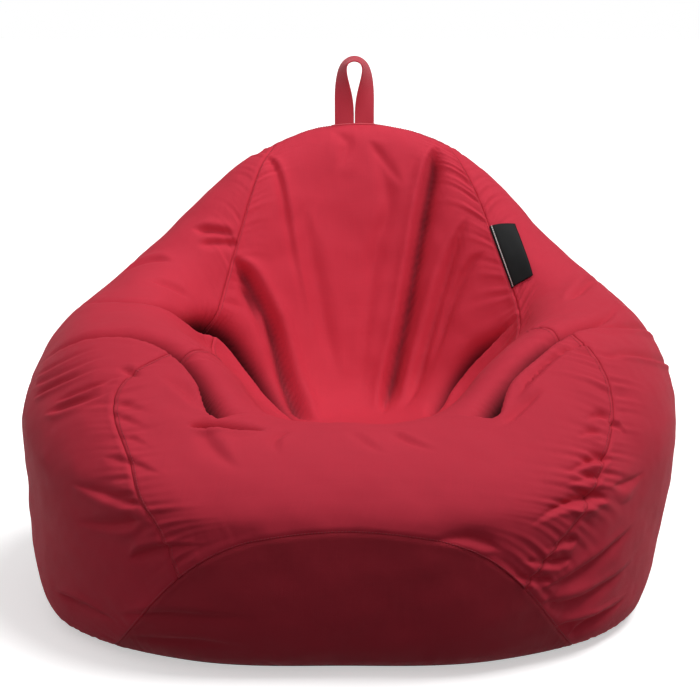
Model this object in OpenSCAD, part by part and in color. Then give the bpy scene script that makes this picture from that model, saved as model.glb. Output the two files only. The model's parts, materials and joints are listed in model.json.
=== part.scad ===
// Bean bag chair. A cover of sewn polyester panels holds a liner full of beads.
// A webbing loop stands on the backrest, a zip runs down the back, and a woven
// label and a care label are sewn into seams.
// The sitter faces -Y. Left and right are as seen from in front, so right is +X.
// The origin is on the floor, under the middle of the bag.

/* [Bag] */
// Height of the backrest's crest
back_h = 662; // [640:1:690]
// Height of the arms' crest beside the seat
arm_h = 412; // [395:1:430]
// Height of the front edge's crest
front_h = 301; // [285:1:320]
// Height of the middle of the seat
seat_h = 225; // [205:1:235]
// Reach of the sides' widest part from the bag's axis
side_r = 467; // [450:1:485]
// Reach of the front's widest part from the bag's axis
front_r = 430; // [415:1:445]
// Reach of the back's widest part from the bag's axis
back_r = 452; // [440:1:465]
// Radius of the flat base beside the seat
foot_r = 410; // [400:1:420]
// Place of the bag's upright axis, from the origin
axis_y = -8; // [-12:1:-4]
// Sideways lean to the right, for each millimetre of height
lean = 0.035; // [0:0.005:0.05]
// Place of the seat's hollow, to the right of the bag's middle
hollow_x = 28; // [20:1:32]

/* [Seams] */
// Angle from the front at which the front panel's arched seam meets the floor
arch_a = 47; // [45:1:49]
// Angle from the front at which the right seam meets the arched seam
right_front_a = 29; // [26:1:31]
// Angle from the front at which the left seam meets the arched seam
left_front_a = 27; // [25:1:30]
// Angle from the front at which the right seam crosses the backrest's crest
right_back_a = 154; // [150:1:158]
// Angle from the front at which the left seam crosses the backrest's crest
left_back_a = 155; // [150:1:158]
// Angle from the front at which the rear side seams meet the floor
rear_foot_a = 140; // [135:1:145]
// Gap between two panels at a seam
seam_gap = 1; // [0.8:0.1:1.4]

/* [Cloth and filling] */
// Thickness of the cover, with its seam allowances
cloth_t = 1.4; // [1:0.1:1.6]
// Depth of the liner's outer face below the cover's
liner_in = 6.6; // [6.4:0.1:6.8]
// Thickness of the liner
liner_t = 1; // [0.8:0.1:1.2]
// Depth of the beads below the cover's outer face
beads_in = 10.4; // [10.2:0.1:10.8]

/* [Handle] */
// Width of the handle's webbing
strap_w = 31; // [26:1:33]
// Thickness of the handle's webbing
strap_t = 2.4; // [1.8:0.1:2.8]
// Height of the loop above the crest
loop_h = 100; // [85:1:115]
// Half the loop's width between the middles of its webbing
loop_r = 20; // [18:0.5:24]
// Place of the loop's middle, to the right of the bag's middle
handle_x = 7; // [0:1:12]

/* [Labels] */
// Length of the side label along its seam
label_l = 104; // [80:1:110]
// Width of the side label away from its seam
label_w = 38; // [28:1:40]
// Thickness of the folded side label
label_t = 1.2; // [0.8:0.1:1.5]
// Width of the care label away from its seam
care_w = 44; // [36:1:50]
// Length of the care label along its seam
care_l = 28; // [20:1:30]

/* [Zip] */
// Length of the closed row of teeth
zip_l = 240; // [200:4:248]
// Width of each tape
tape_w = 13; // [11:0.5:15]
// Distance between two teeth on one tape
tooth_pitch = 4; // [3.6:0.2:5]
// Length of the slider
slider_l = 13; // [11:0.5:15]
// Length of the slider's pull
pull_l = 24; // [20:1:30]

/* [Hidden] */

RED = [0.72, 0.13, 0.19];
DARK_RED = [0.55, 0.09, 0.13];
BLACK = [0.08, 0.08, 0.09];
WHITE = [0.9, 0.9, 0.88];
NICKEL = [0.62, 0.62, 0.64];

// The bag's skin. A station every 30 degrees from the front, over the right arm, to
// the back says what the upright half section is there:
// [crest height, crest radius, roll radius, widest radius, widest height,
//  foot radius, seat radius, belly of the wall below the crest]
STATIONS = [
    [front_h,      285,  88, front_r,     185, foot_r - 35, 110, 36],
    [front_h + 13, 288, 112, side_r + 3,  200, foot_r,      100, 38],
    [arm_h - 24,   298, 128, side_r + 3,  205, foot_r + 30,  95, 38],
    [arm_h,        324, 116, side_r,      245, foot_r,      110, 34],
    [arm_h + 48,   354,  90, side_r + 15, 235, foot_r - 5,  140, 34],
    [back_h - 46,  330,  65, side_r + 3,  190, foot_r - 10, 165, 24],
    [back_h,       315,  60, back_r,      130, foot_r - 12, 170,  0],
];
station_a = 30;
turn = 12;
// Height at which the bag's middle stands over the origin, with its lean
lean_h = 260;

// Place along the half section, from the seat's middle at 0 to under the base at 1
crest_t = 0.414;
arch_t = 0.718;
foot_t = 0.957;
arch_power = 1.7;
// The hollow's shift fades out up to this place, and this much faster than it would
hollow_t = 0.46;
hollow_rate = 1.35;

// The wall's control points, from the crest at 0 to the widest part at 1. They are in
// line at the back, where the wall has no belly, so the zip lies on a straight wall.
WALL = [0.28, 0.52, 0.76];

function mod12(i) = (i % turn + turn) % turn;
function row(i) = let (k = mod12(i)) STATIONS[k <= 6 ? k : turn - k];
function catmull(a, b, c, d, f) =
    0.5 * (2 * b + (c - a) * f + (2 * a - 5 * b + 4 * c - d) * f * f
           + (3 * b - a - 3 * c + d) * f * f * f);
function station(phi) =
    let (i = floor(phi / station_a), f = phi / station_a - i)
    catmull(row(i - 1), row(i), row(i + 1), row(i + 2), f);

function wall(s, w) =
    let (top = [s[1] + s[2] * 0.55, s[0] + s[2] * 0.05], low = [s[3] * 1.015, s[4]])
    top + (low - top) * w + [s[7] * 4 * w * (1 - w), 0];
function section(s) =
    let (h = s[0], r = s[1], roll = s[2], wide = s[3], foot = s[5], seat = s[6])
    [[-seat * 0.55, seat_h], [0, seat_h], [seat * 0.55, seat_h], [seat, seat_h + 8],
     [seat + (r - roll - seat) * 0.62, seat_h + (h - seat_h) * 0.3],
     [r - roll * 0.95, h - roll * 0.75], [r - roll * 0.45, h + roll * 0.1],
     wall(s, 0), wall(s, WALL[0]), wall(s, WALL[1]), wall(s, WALL[2]), wall(s, 1),
     [wide * 0.99, s[4] * 0.42], [foot + 18, 4], [foot - 40, -1], [foot * 0.6, 0]];
function spline(p, i, f) =
    (pow(1 - f, 3) * p[i] + (3 * pow(f, 3) - 6 * f * f + 4) * p[i + 1]
     + (3 * f + 3 * f * f - 3 * pow(f, 3) + 1) * p[i + 2] + pow(f, 3) * p[i + 3]) / 6;
function half_section(phi, t) =
    let (p = section(station(phi)), spans = len(p) - 3, u = min(max(t, 0), 1) * spans,
         i = min(floor(u), spans - 1))
    spline(p, i, u - i);

// A point of the skin from its place on a flat disc, where the front is -Y, the
// distance from the middle is the place along the half section, and turning is turning
function disc(phi, t) = [t * sin(phi), -t * cos(phi)];
function smooth(a, b, x) = let (f = min(max((x - a) / (b - a), 0), 1)) f * f * (3 - 2 * f);
function hollow(t) = hollow_x * min(1, hollow_rate * smooth(hollow_t, 0, t));
function at(d) =
    let (phi = atan2(d[0], -d[1]), p = half_section(phi, norm(d)))
    [p[0] * sin(phi) + lean * (p[1] - lean_h) + hollow(norm(d)),
     axis_y - p[0] * cos(phi), max(p[1], 0)];
function unit(v) = v / norm(v);
function outward(d) =
    let (e = 0.002, p = at(d)) unit(cross(at(d + [e, 0]) - p, at(d + [0, e]) - p));
function skin(d, depth) = at(d) - outward(d) * depth;

// A smooth curve through a list of places
function through(p, v) =
    let (n = len(p) - 1, i = min(floor(v * n), n - 1), f = v * n - i)
    catmull(p[max(i - 1, 0)], p[i], p[i + 1], p[min(i + 2, n)], f);

// Seams, as curves on the disc. Each runs from the front to the back at v = 0 to 1.
function arch(phi) =
    disc(phi, arch_t + (foot_t - arch_t) * pow(abs(phi) / arch_a, arch_power));
RIGHT_SEAM = [arch(right_front_a), [0.456, -0.6], [0.45, -0.46], [0.448, -0.33],
              [0.4, -0.2], [0.335, 0], [0.287, 0.15], [0.235, 0.255],
              disc(right_back_a, crest_t)];
LEFT_SEAM = [arch(-left_front_a), [-0.383, -0.585], [-0.378, -0.47], [-0.4, -0.33],
             [-0.33, -0.22], [-0.3, 0], [-0.245, 0.165], [-0.212, 0.262],
             disc(-left_back_a, crest_t)];
right_seam = function (v) through(RIGHT_SEAM, v);
left_seam = function (v) through(LEFT_SEAM, v);
function mix(a, b, f) = a + (b - a) * f;
function polar(a0, t0, a1, t1) = function (v) disc(mix(a0, a1, v), mix(t0, t1, v));

// The inside of four curves: left and right ones run front to back, front and back
// ones run left to right
function coons(left, right, front, back) = function (u, v)
    mix(left(v), right(v), u) + mix(front(u), back(u), v)
    - mix(mix(front(0), front(1), u), mix(back(0), back(1), u), v);

// A panel of cloth between two depths, with nu by nv cells. edge_u and edge_v hold it
// off its seams, as shares of its size.
module panel(f, nu, nv, edge_u, edge_v, outer, inner) {
    w = nv + 1;
    layer = (nu + 1) * w;
    function place(i, j) = f(mix(edge_u, 1 - edge_u, i / nu), mix(edge_v, 1 - edge_v, j / nv));
    points = [for (depth = [outer, inner]) for (i = [0:nu]) for (j = [0:nv])
                  skin(place(i, j), depth)];
    cells = [for (i = [0:nu - 1]) for (j = [0:nv - 1])
                 let (a = i * w + j) [a, a + 1, a + w + 1, a + w]];
    top = [for (c = cells) each [[c[0], c[1], c[2]], [c[0], c[2], c[3]]]];
    under = [for (t = top) [t[2] + layer, t[1] + layer, t[0] + layer]];
    rim = concat([for (j = [0:nv - 1]) j + 1], [for (i = [1:nu]) i * w + nv],
                 [for (j = [nv - 1:-1:0]) nu * w + j], [for (i = [nu - 1:-1:0]) i * w]);
    sides = [for (k = [0:len(rim) - 1])
                 let (a = rim[k], b = rim[(k + 1) % len(rim)])
                 each [[b, a, a + layer], [b, a + layer, b + layer]]];
    polyhedron(points, concat(top, under, sides));
}

// The share of a panel's width that half a seam's gap takes
function gap(width) = seam_gap / 2 / width;

// Rings of the whole skin at one depth, from the seat's middle down to the foot
ring_n = 44;
ring_m = 24;
function rings(depth) = concat([skin([0, 0.0001], depth)],
    [for (j = [1:ring_m]) for (i = [0:ring_n - 1])
         skin(disc(360 * i / ring_n, foot_t * j / ring_m), depth)]);
function ring_faces() = concat(
    [for (i = [0:ring_n - 1]) [0, 1 + (i + 1) % ring_n, 1 + i]],
    [for (j = [0:ring_m - 2]) for (i = [0:ring_n - 1])
         let (a = 1 + j * ring_n + i, b = 1 + j * ring_n + (i + 1) % ring_n)
         each [[a, b, b + ring_n], [a, b + ring_n, a + ring_n]]]);
function backwards(faces, shift) = [for (f = faces) [f[2], f[1], f[0]] + [shift, shift, shift]];
ring_count = 1 + ring_n * ring_m;
last_ring = ring_count - ring_n;

// The outline of the flat base, drawn in by some millimetres
function foot_outline(in) = [for (i = [0:ring_n * 2 - 1])
    let (p = at(disc(180 * i / ring_n, foot_t)), c = [-lean * lean_h, axis_y],
         d = [p[0], p[1]] - c) c + d * (1 - in / norm(d))];

// ---- The cover ----

module seat_back_panel() {
    front = function (u) arch(mix(-left_front_a, right_front_a, u));
    back = polar(-left_back_a, crest_t, right_back_a - 360, crest_t);
    color(RED) panel(coons(left_seam, right_seam, front, back),
                     24, 42, gap(420), gap(1100), 0, cloth_t);
}

module side_panel_right() {
    outer = polar(arch_a, foot_t, rear_foot_a, foot_t);
    front = function (u) arch(mix(right_front_a, arch_a, u));
    back = polar(right_back_a, crest_t, rear_foot_a, foot_t);
    color(RED) panel(coons(right_seam, outer, front, back),
                     24, 28, gap(450), gap(900), 0, cloth_t);
}

module side_panel_left() {
    outer = polar(-arch_a, foot_t, -rear_foot_a, foot_t);
    front = function (u) arch(mix(-arch_a, -left_front_a, u));
    back = polar(-rear_foot_a, foot_t, -left_back_a, crest_t);
    color(RED) panel(coons(outer, left_seam, front, back),
                     24, 28, gap(450), gap(900), 0, cloth_t);
}

// The corners of this one are cut off where the arched seam runs into the floor seam
module front_base_panel() {
    corner_a = arch_a - 3;
    color(DARK_RED) panel(coons(polar(-corner_a, foot_t, -corner_a, norm(arch(corner_a))),
                                polar(corner_a, foot_t, corner_a, norm(arch(corner_a))),
                                polar(-corner_a, foot_t, corner_a, foot_t),
                                function (u) arch(mix(-corner_a, corner_a, u))),
                          28, 6, gap(600), gap(180), 0, cloth_t);
}

module rear_panel_right() {
    color(RED) panel(coons(polar(180, crest_t, 180, foot_t),
                           polar(right_back_a, crest_t, rear_foot_a, foot_t),
                           polar(180, crest_t, right_back_a, crest_t),
                           polar(180, foot_t, rear_foot_a, foot_t)),
                     10, 26, gap(250), gap(650), 0, cloth_t);
}

module rear_panel_left() {
    color(RED) panel(coons(polar(-left_back_a, crest_t, -rear_foot_a, foot_t),
                           polar(-180, crest_t, -180, foot_t),
                           polar(-left_back_a, crest_t, -180, crest_t),
                           polar(-rear_foot_a, foot_t, -180, foot_t)),
                     10, 26, gap(250), gap(650), 0, cloth_t);
}

module base_panel() {
    color(DARK_RED) linear_extrude(cloth_t) polygon(foot_outline(1));
}

// ---- The liner and its filling ----

module liner_body() {
    outer = rings(liner_in);
    inner = rings(liner_in + liner_t);
    lip = [for (i = [0:ring_n - 1])
               let (a = last_ring + i, b = last_ring + (i + 1) % ring_n)
               each [[a, b, b + ring_count], [a, b + ring_count, a + ring_count]]];
    color(WHITE) polyhedron(concat(outer, inner),
        concat(ring_faces(), backwards(ring_faces(), ring_count), lip));
}

liner_z = 2.2;
module liner_base() {
    color(WHITE) translate([0, 0, liner_z]) linear_extrude(liner_t) polygon(foot_outline(9));
}

liner_zip_l = 320;
module liner_zip() {
    color(WHITE) translate([-liner_zip_l / 2, axis_y - tape_w, liner_z + liner_t])
        cube([liner_zip_l, 2 * tape_w, liner_t]);
}

module bead_fill() {
    top = rings(beads_in);
    under = [for (i = [0:ring_n - 1]) [last_ring + i, last_ring + (i + 1) % ring_n, ring_count]];
    color(WHITE) polyhedron(concat(top, [[-lean * lean_h, axis_y, beads_in]]), concat(ring_faces(), under));
}

// ---- The handle ----

// The loop turns on its sewn ends, which lie on the crest
crest = at(disc(180, crest_t));
handle_clear = 3.2;
handle_at = [handle_x, crest[1], crest[2] + handle_clear];
leg_x = strap_w / 2 + 1.2;
half_loop = [[-leg_x, -loop_h * 0.3], [-leg_x, 0], [-leg_x, loop_h * 0.3],
             [-loop_r, loop_h * 0.62], [-loop_r, loop_h * 0.93]];
loop_route = concat(half_loop, [[0, loop_h * 1.035]],
                    [for (k = [len(half_loop) - 1:-1:0]) [-half_loop[k][0], half_loop[k][1]]]);
loop_n = 48;
function loop_point(s) =
    let (spans = len(loop_route) - 3, u = s * spans, i = min(floor(u), spans - 1))
    spline(loop_route, i, u - i);
// The webbing's flat side faces the front at the ends, and is turned 90 degrees on top
function loop_ring(s) =
    let (e = 0.001, p = loop_point(s),
         t = unit(loop_point(min(s + e, 1)) - loop_point(max(s - e, 0))),
         away = [-t[1], 0, t[0]], twist = 90 * (1 - smooth(0.3, 0.95, abs(2 * s - 1))),
         across = away * cos(twist) + [0, 1, 0] * sin(twist),
         thick = cross([t[0], 0, t[1]], across))
    [for (c = [[-1, -1], [1, -1], [1, 1], [-1, 1]])
         [p[0], 0, p[1]] + across * c[0] * strap_w / 2 + thick * c[1] * strap_t / 2];

module handle_loop() {
    points = [for (k = [0:loop_n]) each loop_ring(k / loop_n)];
    walls = [for (k = [0:loop_n - 1]) for (c = [0:3])
                 let (a = 4 * k + c, b = 4 * k + (c + 1) % 4)
                 each [[a, b, b + 4], [a, b + 4, a + 4]]];
    last = 4 * loop_n;
    ends = [[2, 1, 0], [3, 2, 0], [last, last + 1, last + 2], [last, last + 2, last + 3]];
    color(RED) translate(handle_at) polyhedron(points, concat(walls, ends));
}

// The bar of folded cloth under the loop, stitched over its ends. It is in two ridges
// with the loop's ends between them.
anchor_l = 66;
anchor_t = 1.2;
anchor_lift = 0.4;
ridge_w = 3;
module handle_anchor() {
    slot = 2.8 * strap_t;
    for (side = [-1, 1])
        color(DARK_RED) translate([handle_x, crest[1] + side * (slot + ridge_w) / 2, crest[2]])
            translate([-anchor_l / 2, -ridge_w / 2, anchor_lift]) cube([anchor_l, ridge_w, anchor_t]);
}

// ---- The side label, in the right seam ----

// The label lies on the cloth beside its seam, between two places along the seam
label_foot = 0.777;
label_head = label_foot + label_l / 1230;
label_lift = 1.6;

// The step on the disc that goes one millimetre across the seam, away from the seat
function across_seam(v) =
    let (e = 0.002, s = right_seam(v), p = at(s), x = (at(s + [e, 0]) - p) / e,
         y = (at(s + [0, e]) - p) / e, out = unit(cross(x, y)),
         up = unit(at(right_seam(v + 0.01)) - at(right_seam(v - 0.01))),
         side = cross(up, out), a = x * x, b = x * y, c = y * y, f = x * side, g = y * side)
    [f * c - g * b, g * a - f * b] / (a * c - b * b);
function on_label(u, v) =
    let (w = mix(label_foot, label_head, v))
    right_seam(w) + across_seam(w) * mix(0, label_w, u);
// The label turns on the straight line between the ends of its sewn edge
label_end = skin(on_label(0, 0), -label_lift - label_t);
label_at = skin(on_label(0, 1), -label_lift - label_t);
label_up = unit(label_at - label_end);

module side_label() {
    color(BLACK) panel(function (u, v) on_label(u, v), 4, 12, 0, 0,
                       -label_lift - label_t, -label_lift);
}

// ---- The zip, on the straight wall at the back ----

wall_top = wall(station(180), 0);
wall_low = wall(station(180), 1);
wall_lean = atan2(wall_low[0] - wall_top[0], wall_top[1] - wall_low[1]);
wall_roll = atan(lean * cos(wall_lean));
zip_foot = wall(station(180), 0.745);
tape_lift = 0.3;
tape_t = 0.8;
tooth_w = 4;
tooth_h = 1.8;
tooth_reach = 1.5;
tooth_l = tooth_pitch * 0.4;
tape_end = 6;

// x across, y out of the wall, z up along the wall from the zip's lower end
module on_wall() {
    translate([lean * (zip_foot[1] - lean_h), axis_y + zip_foot[0], zip_foot[1]])
        rotate([wall_lean, 0, 0]) rotate([0, wall_roll, 0]) children();
}

module zip_tape(side) {
    color(DARK_RED) on_wall()
        translate([side > 0 ? 0.5 : -tape_w - 0.5, tape_lift, -tape_end])
            cube([tape_w, tape_t, zip_l + 2 * tape_end]);
}
module zip_tape_right() { zip_tape(1); }
module zip_tape_left() { zip_tape(-1); }

module zip_teeth(side) {
    shift = side > 0 ? 0 : tooth_pitch / 2;
    color(DARK_RED) on_wall() for (k = [0:floor(zip_l / tooth_pitch) - 1])
        translate([side > 0 ? -tooth_reach : tooth_reach - tooth_w, tape_lift + tape_t,
                   shift + k * tooth_pitch])
            cube([tooth_w, tooth_h, tooth_l]);
}
module zip_teeth_right() { zip_teeth(1); }
module zip_teeth_left() { zip_teeth(-1); }

stop_l = 3;
module zip_stop(z) {
    color(NICKEL) on_wall() translate([-tooth_w * 0.8, tape_lift + tape_t, z])
        cube([tooth_w * 1.6, tooth_h + 0.6, stop_l]);
}
module zip_top_stop() { zip_stop(zip_l + 0.2); }
module zip_bottom_stop() { zip_stop(-stop_l - 0.2); }

// The slider is a saddle over the teeth with two ears that hold the pull's pin
slider_w = 11;
channel_w = 6.4;
slider_top = 6;
pin_r = 0.9;
pin_y = 8.4;
ear_t = 1.6;
ear_gap = 4.6;
slider_gap = 0.3;
pin_z = slider_gap + slider_l * 0.55;

module zip_slider() {
    base_y = tape_lift + tape_t + slider_gap;
    channel_top = tape_lift + tape_t + tooth_h + 2 * slider_gap;
    color(NICKEL) on_wall() {
        difference() {
            translate([-slider_w / 2, base_y, slider_gap])
                cube([slider_w, slider_top - base_y, slider_l]);
            translate([-channel_w / 2, base_y - 1, slider_gap - 1])
                cube([channel_w, channel_top - base_y + 1, slider_l + 2]);
        }
        for (side = [-1, 1])
            translate([side * (ear_gap + ear_t) / 2, 0, pin_z]) rotate([0, 90, 0])
                translate([0, 0, -ear_t / 2]) linear_extrude(ear_t) union() {
                    translate([0, pin_y]) circle(r = 2.1, $fn = 40);
                    translate([-2.1, slider_top]) square([4.2, pin_y - slider_top]);
                }
        translate([-ear_gap / 2, pin_y, pin_z]) rotate([0, 90, 0])
            cylinder(r = pin_r, h = ear_gap, $fn = 40);
    }
}

// The pull is an eye round the pin and a flat tab with a slot, which hangs down the wall
pull_t = 1.6;
pull_w = 7;
eye_w = 4;
eye_r = 1.9;
module zip_pull() {
    color(NICKEL) on_wall() translate([0, pin_y, pin_z]) {
        difference() {
            union() {
                rotate([0, 90, 0]) cylinder(r = eye_r, h = eye_w, center = true, $fn = 40);
                translate([-eye_w / 2, -pull_t / 2, -6]) cube([eye_w, pull_t, 6]);
            }
            rotate([0, 90, 0]) cylinder(r = pin_r + 0.1, h = eye_w + 1, center = true, $fn = 40);
        }
        translate([0, pull_t / 2, -6]) rotate([90, 0, 0]) linear_extrude(pull_t)
            difference() {
                translate([-pull_w / 2, -pull_l + 6]) square([pull_w, pull_l - 6]);
                translate([-1.5, -pull_l + 9]) square([3, pull_l - 16]);
            }
    }
}

// ---- The care label, in the seam below the zip ----

care_drop = 23;
care_lift = 1.8;
care_t = 0.6;
module care_label() {
    color(WHITE) on_wall() translate([-care_w, care_lift, -care_drop - care_l])
        cube([care_w, care_t, care_l]);
}

seat_back_panel();
side_panel_left();
side_panel_right();
front_base_panel();
rear_panel_left();
rear_panel_right();
base_panel();
handle_loop();
handle_anchor();
side_label();
care_label();
zip_tape_left();
zip_tape_right();
zip_teeth_left();
zip_teeth_right();
zip_top_stop();
zip_bottom_stop();
zip_slider();
zip_pull();
liner_body();
liner_base();
liner_zip();
bead_fill();
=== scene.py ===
"""Looks of the bean bag chair: a sewn polyester cover round a liner full of beads.

The cover's panels are grids over one skin, which has the CAD part's shape and is then
tucked, puckered and creased as the cloth is. Sizes are in metres, apart from the skin's
stations and the folds, which are in millimetres. Places on the skin are given on a disc, by
an angle from the front and a distance from 0 in the seat's middle to 1 under the base.
"""

import json
import math
from collections import namedtuple

import bpy
import numpy as np
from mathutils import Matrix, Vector


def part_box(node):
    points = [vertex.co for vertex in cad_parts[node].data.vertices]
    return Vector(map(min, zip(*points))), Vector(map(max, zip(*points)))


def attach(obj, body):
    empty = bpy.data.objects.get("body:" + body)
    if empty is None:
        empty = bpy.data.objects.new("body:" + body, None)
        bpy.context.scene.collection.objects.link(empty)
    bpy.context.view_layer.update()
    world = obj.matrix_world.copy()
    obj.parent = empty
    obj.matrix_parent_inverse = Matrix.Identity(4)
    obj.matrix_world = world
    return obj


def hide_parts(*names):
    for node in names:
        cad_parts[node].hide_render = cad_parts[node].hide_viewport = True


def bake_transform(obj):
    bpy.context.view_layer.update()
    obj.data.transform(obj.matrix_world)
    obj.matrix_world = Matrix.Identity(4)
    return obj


bl_info = {
    "name": "Bean Bag Chair",
    "version": (1, 0, 0),
    "blender": (4, 5, 0),
    "location": "3D View > Sidebar > Bean Bag",
    "description": "Sews a bean bag chair round its packed CAD frame and lights it",
    "category": "Add Mesh",
}

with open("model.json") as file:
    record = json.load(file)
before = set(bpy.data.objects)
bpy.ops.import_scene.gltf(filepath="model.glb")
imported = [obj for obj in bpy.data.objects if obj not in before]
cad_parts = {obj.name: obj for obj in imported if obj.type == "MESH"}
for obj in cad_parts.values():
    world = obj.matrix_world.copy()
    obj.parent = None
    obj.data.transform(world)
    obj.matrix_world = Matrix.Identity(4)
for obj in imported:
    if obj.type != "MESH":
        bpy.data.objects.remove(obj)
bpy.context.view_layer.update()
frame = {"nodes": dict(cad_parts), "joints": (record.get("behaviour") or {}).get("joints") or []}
MM = 0.001
SEED = 7

# ---- The skin ----

# Every 30 degrees from the front, over an arm, to the back, in millimetres: crest height,
# crest radius, roll radius, widest radius, widest height, foot radius, seat radius, belly
STATIONS = (
    (301, 285, 88, 430, 185, 375, 110, 36),
    (314, 288, 112, 470, 200, 410, 100, 38),
    (388, 298, 128, 470, 205, 440, 95, 38),
    (412, 324, 116, 467, 245, 410, 110, 34),
    (460, 354, 90, 482, 235, 405, 140, 34),
    (616, 330, 65, 470, 190, 400, 165, 24),
    (662, 315, 60, 452, 130, 398, 170, 0),
)
STATION_ANGLE = 30
SEAT_H = 225
AXIS_Y = -8
# How much the bag leans to +X for its height, and the height that stays in place
LEAN = 0.035
LEAN_H = 260
# How far the seat's hollow lies to +X, out to which distance, and how fast that fades
HOLLOW_X = 28
HOLLOW_T = 0.46
HOLLOW_RATE = 1.35
# Shares of the way down the wall that have control points, and the widest point's overshoot
WALL = (0.28, 0.52, 0.76)
OVERSHOOT = 1.015
# Distances on the disc: the crest, the top of the front's arched seam, and the foot
CREST_T = 0.414
ARCH_T = 0.718
FOOT_T = 0.957
ARCH_POWER = 1.7
# Angles from the front, in degrees, at which seams end
ARCH_A = 47
RIGHT_FRONT_A = 29
LEFT_FRONT_A = 27
RIGHT_BACK_A = 154
LEFT_BACK_A = 155
REAR_FOOT_A = 140


def smooth(a, b, x):
    """0 before a, 1 after b, and a smooth step between them."""
    f = np.clip((x - a) / (b - a), 0, 1)
    return f * f * (3 - 2 * f)


def catmull(a, b, c, d, f):
    """A Catmull-Rom curve from b to c."""
    return 0.5 * (2 * b + (c - a) * f + (2 * a - 5 * b + 4 * c - d) * f**2
                  + (3 * b - a - 3 * c + d) * f**3)


def blend4(a, b, c, d, f):
    """A uniform cubic B-spline at share f of one of its spans."""
    return ((1 - f) ** 3 * a + (3 * f**3 - 6 * f**2 + 4) * b
            + (3 * f + 3 * f**2 - 3 * f**3 + 1) * c + f**3 * d) / 6


def station(phi):
    """The skin's station values at angles from the front, in degrees."""
    ring = np.array(STATIONS + STATIONS[-2:0:-1], float)
    u = phi / STATION_ANGLE
    i = np.floor(u).astype(int)
    near = [ring[(i + k) % len(ring)] for k in (-1, 0, 1, 2)]
    return catmull(*near, (u - i)[..., None])


def section_points(s):
    """The control points, from the seat to under the base, of half sections."""
    h, r, roll, wide, wide_h, foot, seat, belly = np.moveaxis(s, -1, 0)
    zero = np.zeros_like(h)
    low = zero + SEAT_H

    def wall(w):
        top_r, top_h = r + roll * 0.55, h + roll * 0.05
        return (top_r + (wide * OVERSHOOT - top_r) * w + belly * 4 * w * (1 - w),
                top_h + (wide_h - top_h) * w)

    points = [(-seat * 0.55, low), (zero, low), (seat * 0.55, low), (seat, low + 8),
              (seat + (r - roll - seat) * 0.62, low + (h - low) * 0.3),
              (r - roll * 0.95, h - roll * 0.75), (r - roll * 0.45, h + roll * 0.1),
              wall(0), wall(WALL[0]), wall(WALL[1]), wall(WALL[2]), wall(1),
              (wide * 0.99, wide_h * 0.42), (foot + 18, zero + 4), (foot - 40, zero - 1),
              (foot * 0.6, zero)]
    return np.stack([np.stack(p, -1) for p in points], -2)


def half_section(phi, t):
    """Distance from the axis and height of the skin, in millimetres."""
    points = section_points(station(phi))
    spans = points.shape[-2] - 3
    u = np.clip(t, 0, 1) * spans
    i = np.minimum(np.floor(u).astype(int), spans - 1)
    f = (u - i)[..., None]

    def pick(k):
        index = (i + k)[..., None, None].repeat(2, -1)
        return np.take_along_axis(points, index, -2)[..., 0, :]

    return blend4(pick(0), pick(1), pick(2), pick(3), f)


def disc(phi, t):
    """A place on the flat disc that the skin is spread from. The front is -Y."""
    a = np.radians(phi)
    return np.stack(np.broadcast_arrays(t * np.sin(a), -t * np.cos(a)), -1)


def skin(d):
    """Points of the skin, in metres, at places on the disc."""
    a = np.arctan2(d[..., 0], -d[..., 1])
    t = np.linalg.norm(d, axis=-1)
    p = half_section(np.degrees(a), t)
    shift = HOLLOW_X * np.minimum(1, HOLLOW_RATE * smooth(HOLLOW_T, 0, t))
    x = p[..., 0] * np.sin(a) + LEAN * (p[..., 1] - LEAN_H) + shift
    y = AXIS_Y - p[..., 0] * np.cos(a)
    return np.stack([x, y, np.maximum(p[..., 1], 0)], -1) * MM


def unit(v):
    """Directions, with a length of one."""
    return v / np.maximum(np.linalg.norm(v, axis=-1, keepdims=True), 1e-12)


def outward(d):
    """The skin's outward directions at places on the disc."""
    step = 0.002
    across = skin(d + np.array([step, 0])) - skin(d - np.array([step, 0]))
    along = skin(d + np.array([0, step])) - skin(d - np.array([0, step]))
    return unit(np.cross(across, along))


# ---- Seams, as curves on the disc from the front to the back ----


def through(points, v):
    """A smooth curve through a list of places."""
    points = np.array(points, float)
    n = len(points) - 1
    i = np.clip(np.floor(v * n).astype(int), 0, n - 1)
    near = [points[np.clip(i + k, 0, n)] for k in (-1, 0, 1, 2)]
    return catmull(*near, (v * n - i)[..., None])


def arch(phi):
    """The front panel's arched seam, at angles from the front."""
    phi = np.asarray(phi, float)
    return disc(phi, ARCH_T + (FOOT_T - ARCH_T) * (np.abs(phi) / ARCH_A) ** ARCH_POWER)


def right_seam(v):
    """The seam of the arm at +X."""
    return through([arch(RIGHT_FRONT_A), (0.456, -0.6), (0.45, -0.46), (0.448, -0.33),
                    (0.4, -0.2), (0.335, 0), (0.287, 0.15), (0.235, 0.255),
                    disc(RIGHT_BACK_A, CREST_T)], v)


def left_seam(v):
    """The seam of the arm at -X."""
    return through([arch(-LEFT_FRONT_A), (-0.383, -0.585), (-0.378, -0.47), (-0.4, -0.33),
                    (-0.33, -0.22), (-0.3, 0), (-0.245, 0.165), (-0.212, 0.262),
                    disc(-LEFT_BACK_A, CREST_T)], v)


def mix(a, b, f):
    """A value between two values."""
    return a + (b - a) * f


def polar(a0, t0, a1, t1):
    """A curve on the disc between two angles and two distances."""
    return lambda v: disc(mix(a0, a1, v), mix(t0, t1, v))


def arch_between(a0, a1):
    """The part of the arched seam between two angles."""
    return lambda v: arch(mix(a0, a1, v))


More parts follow.
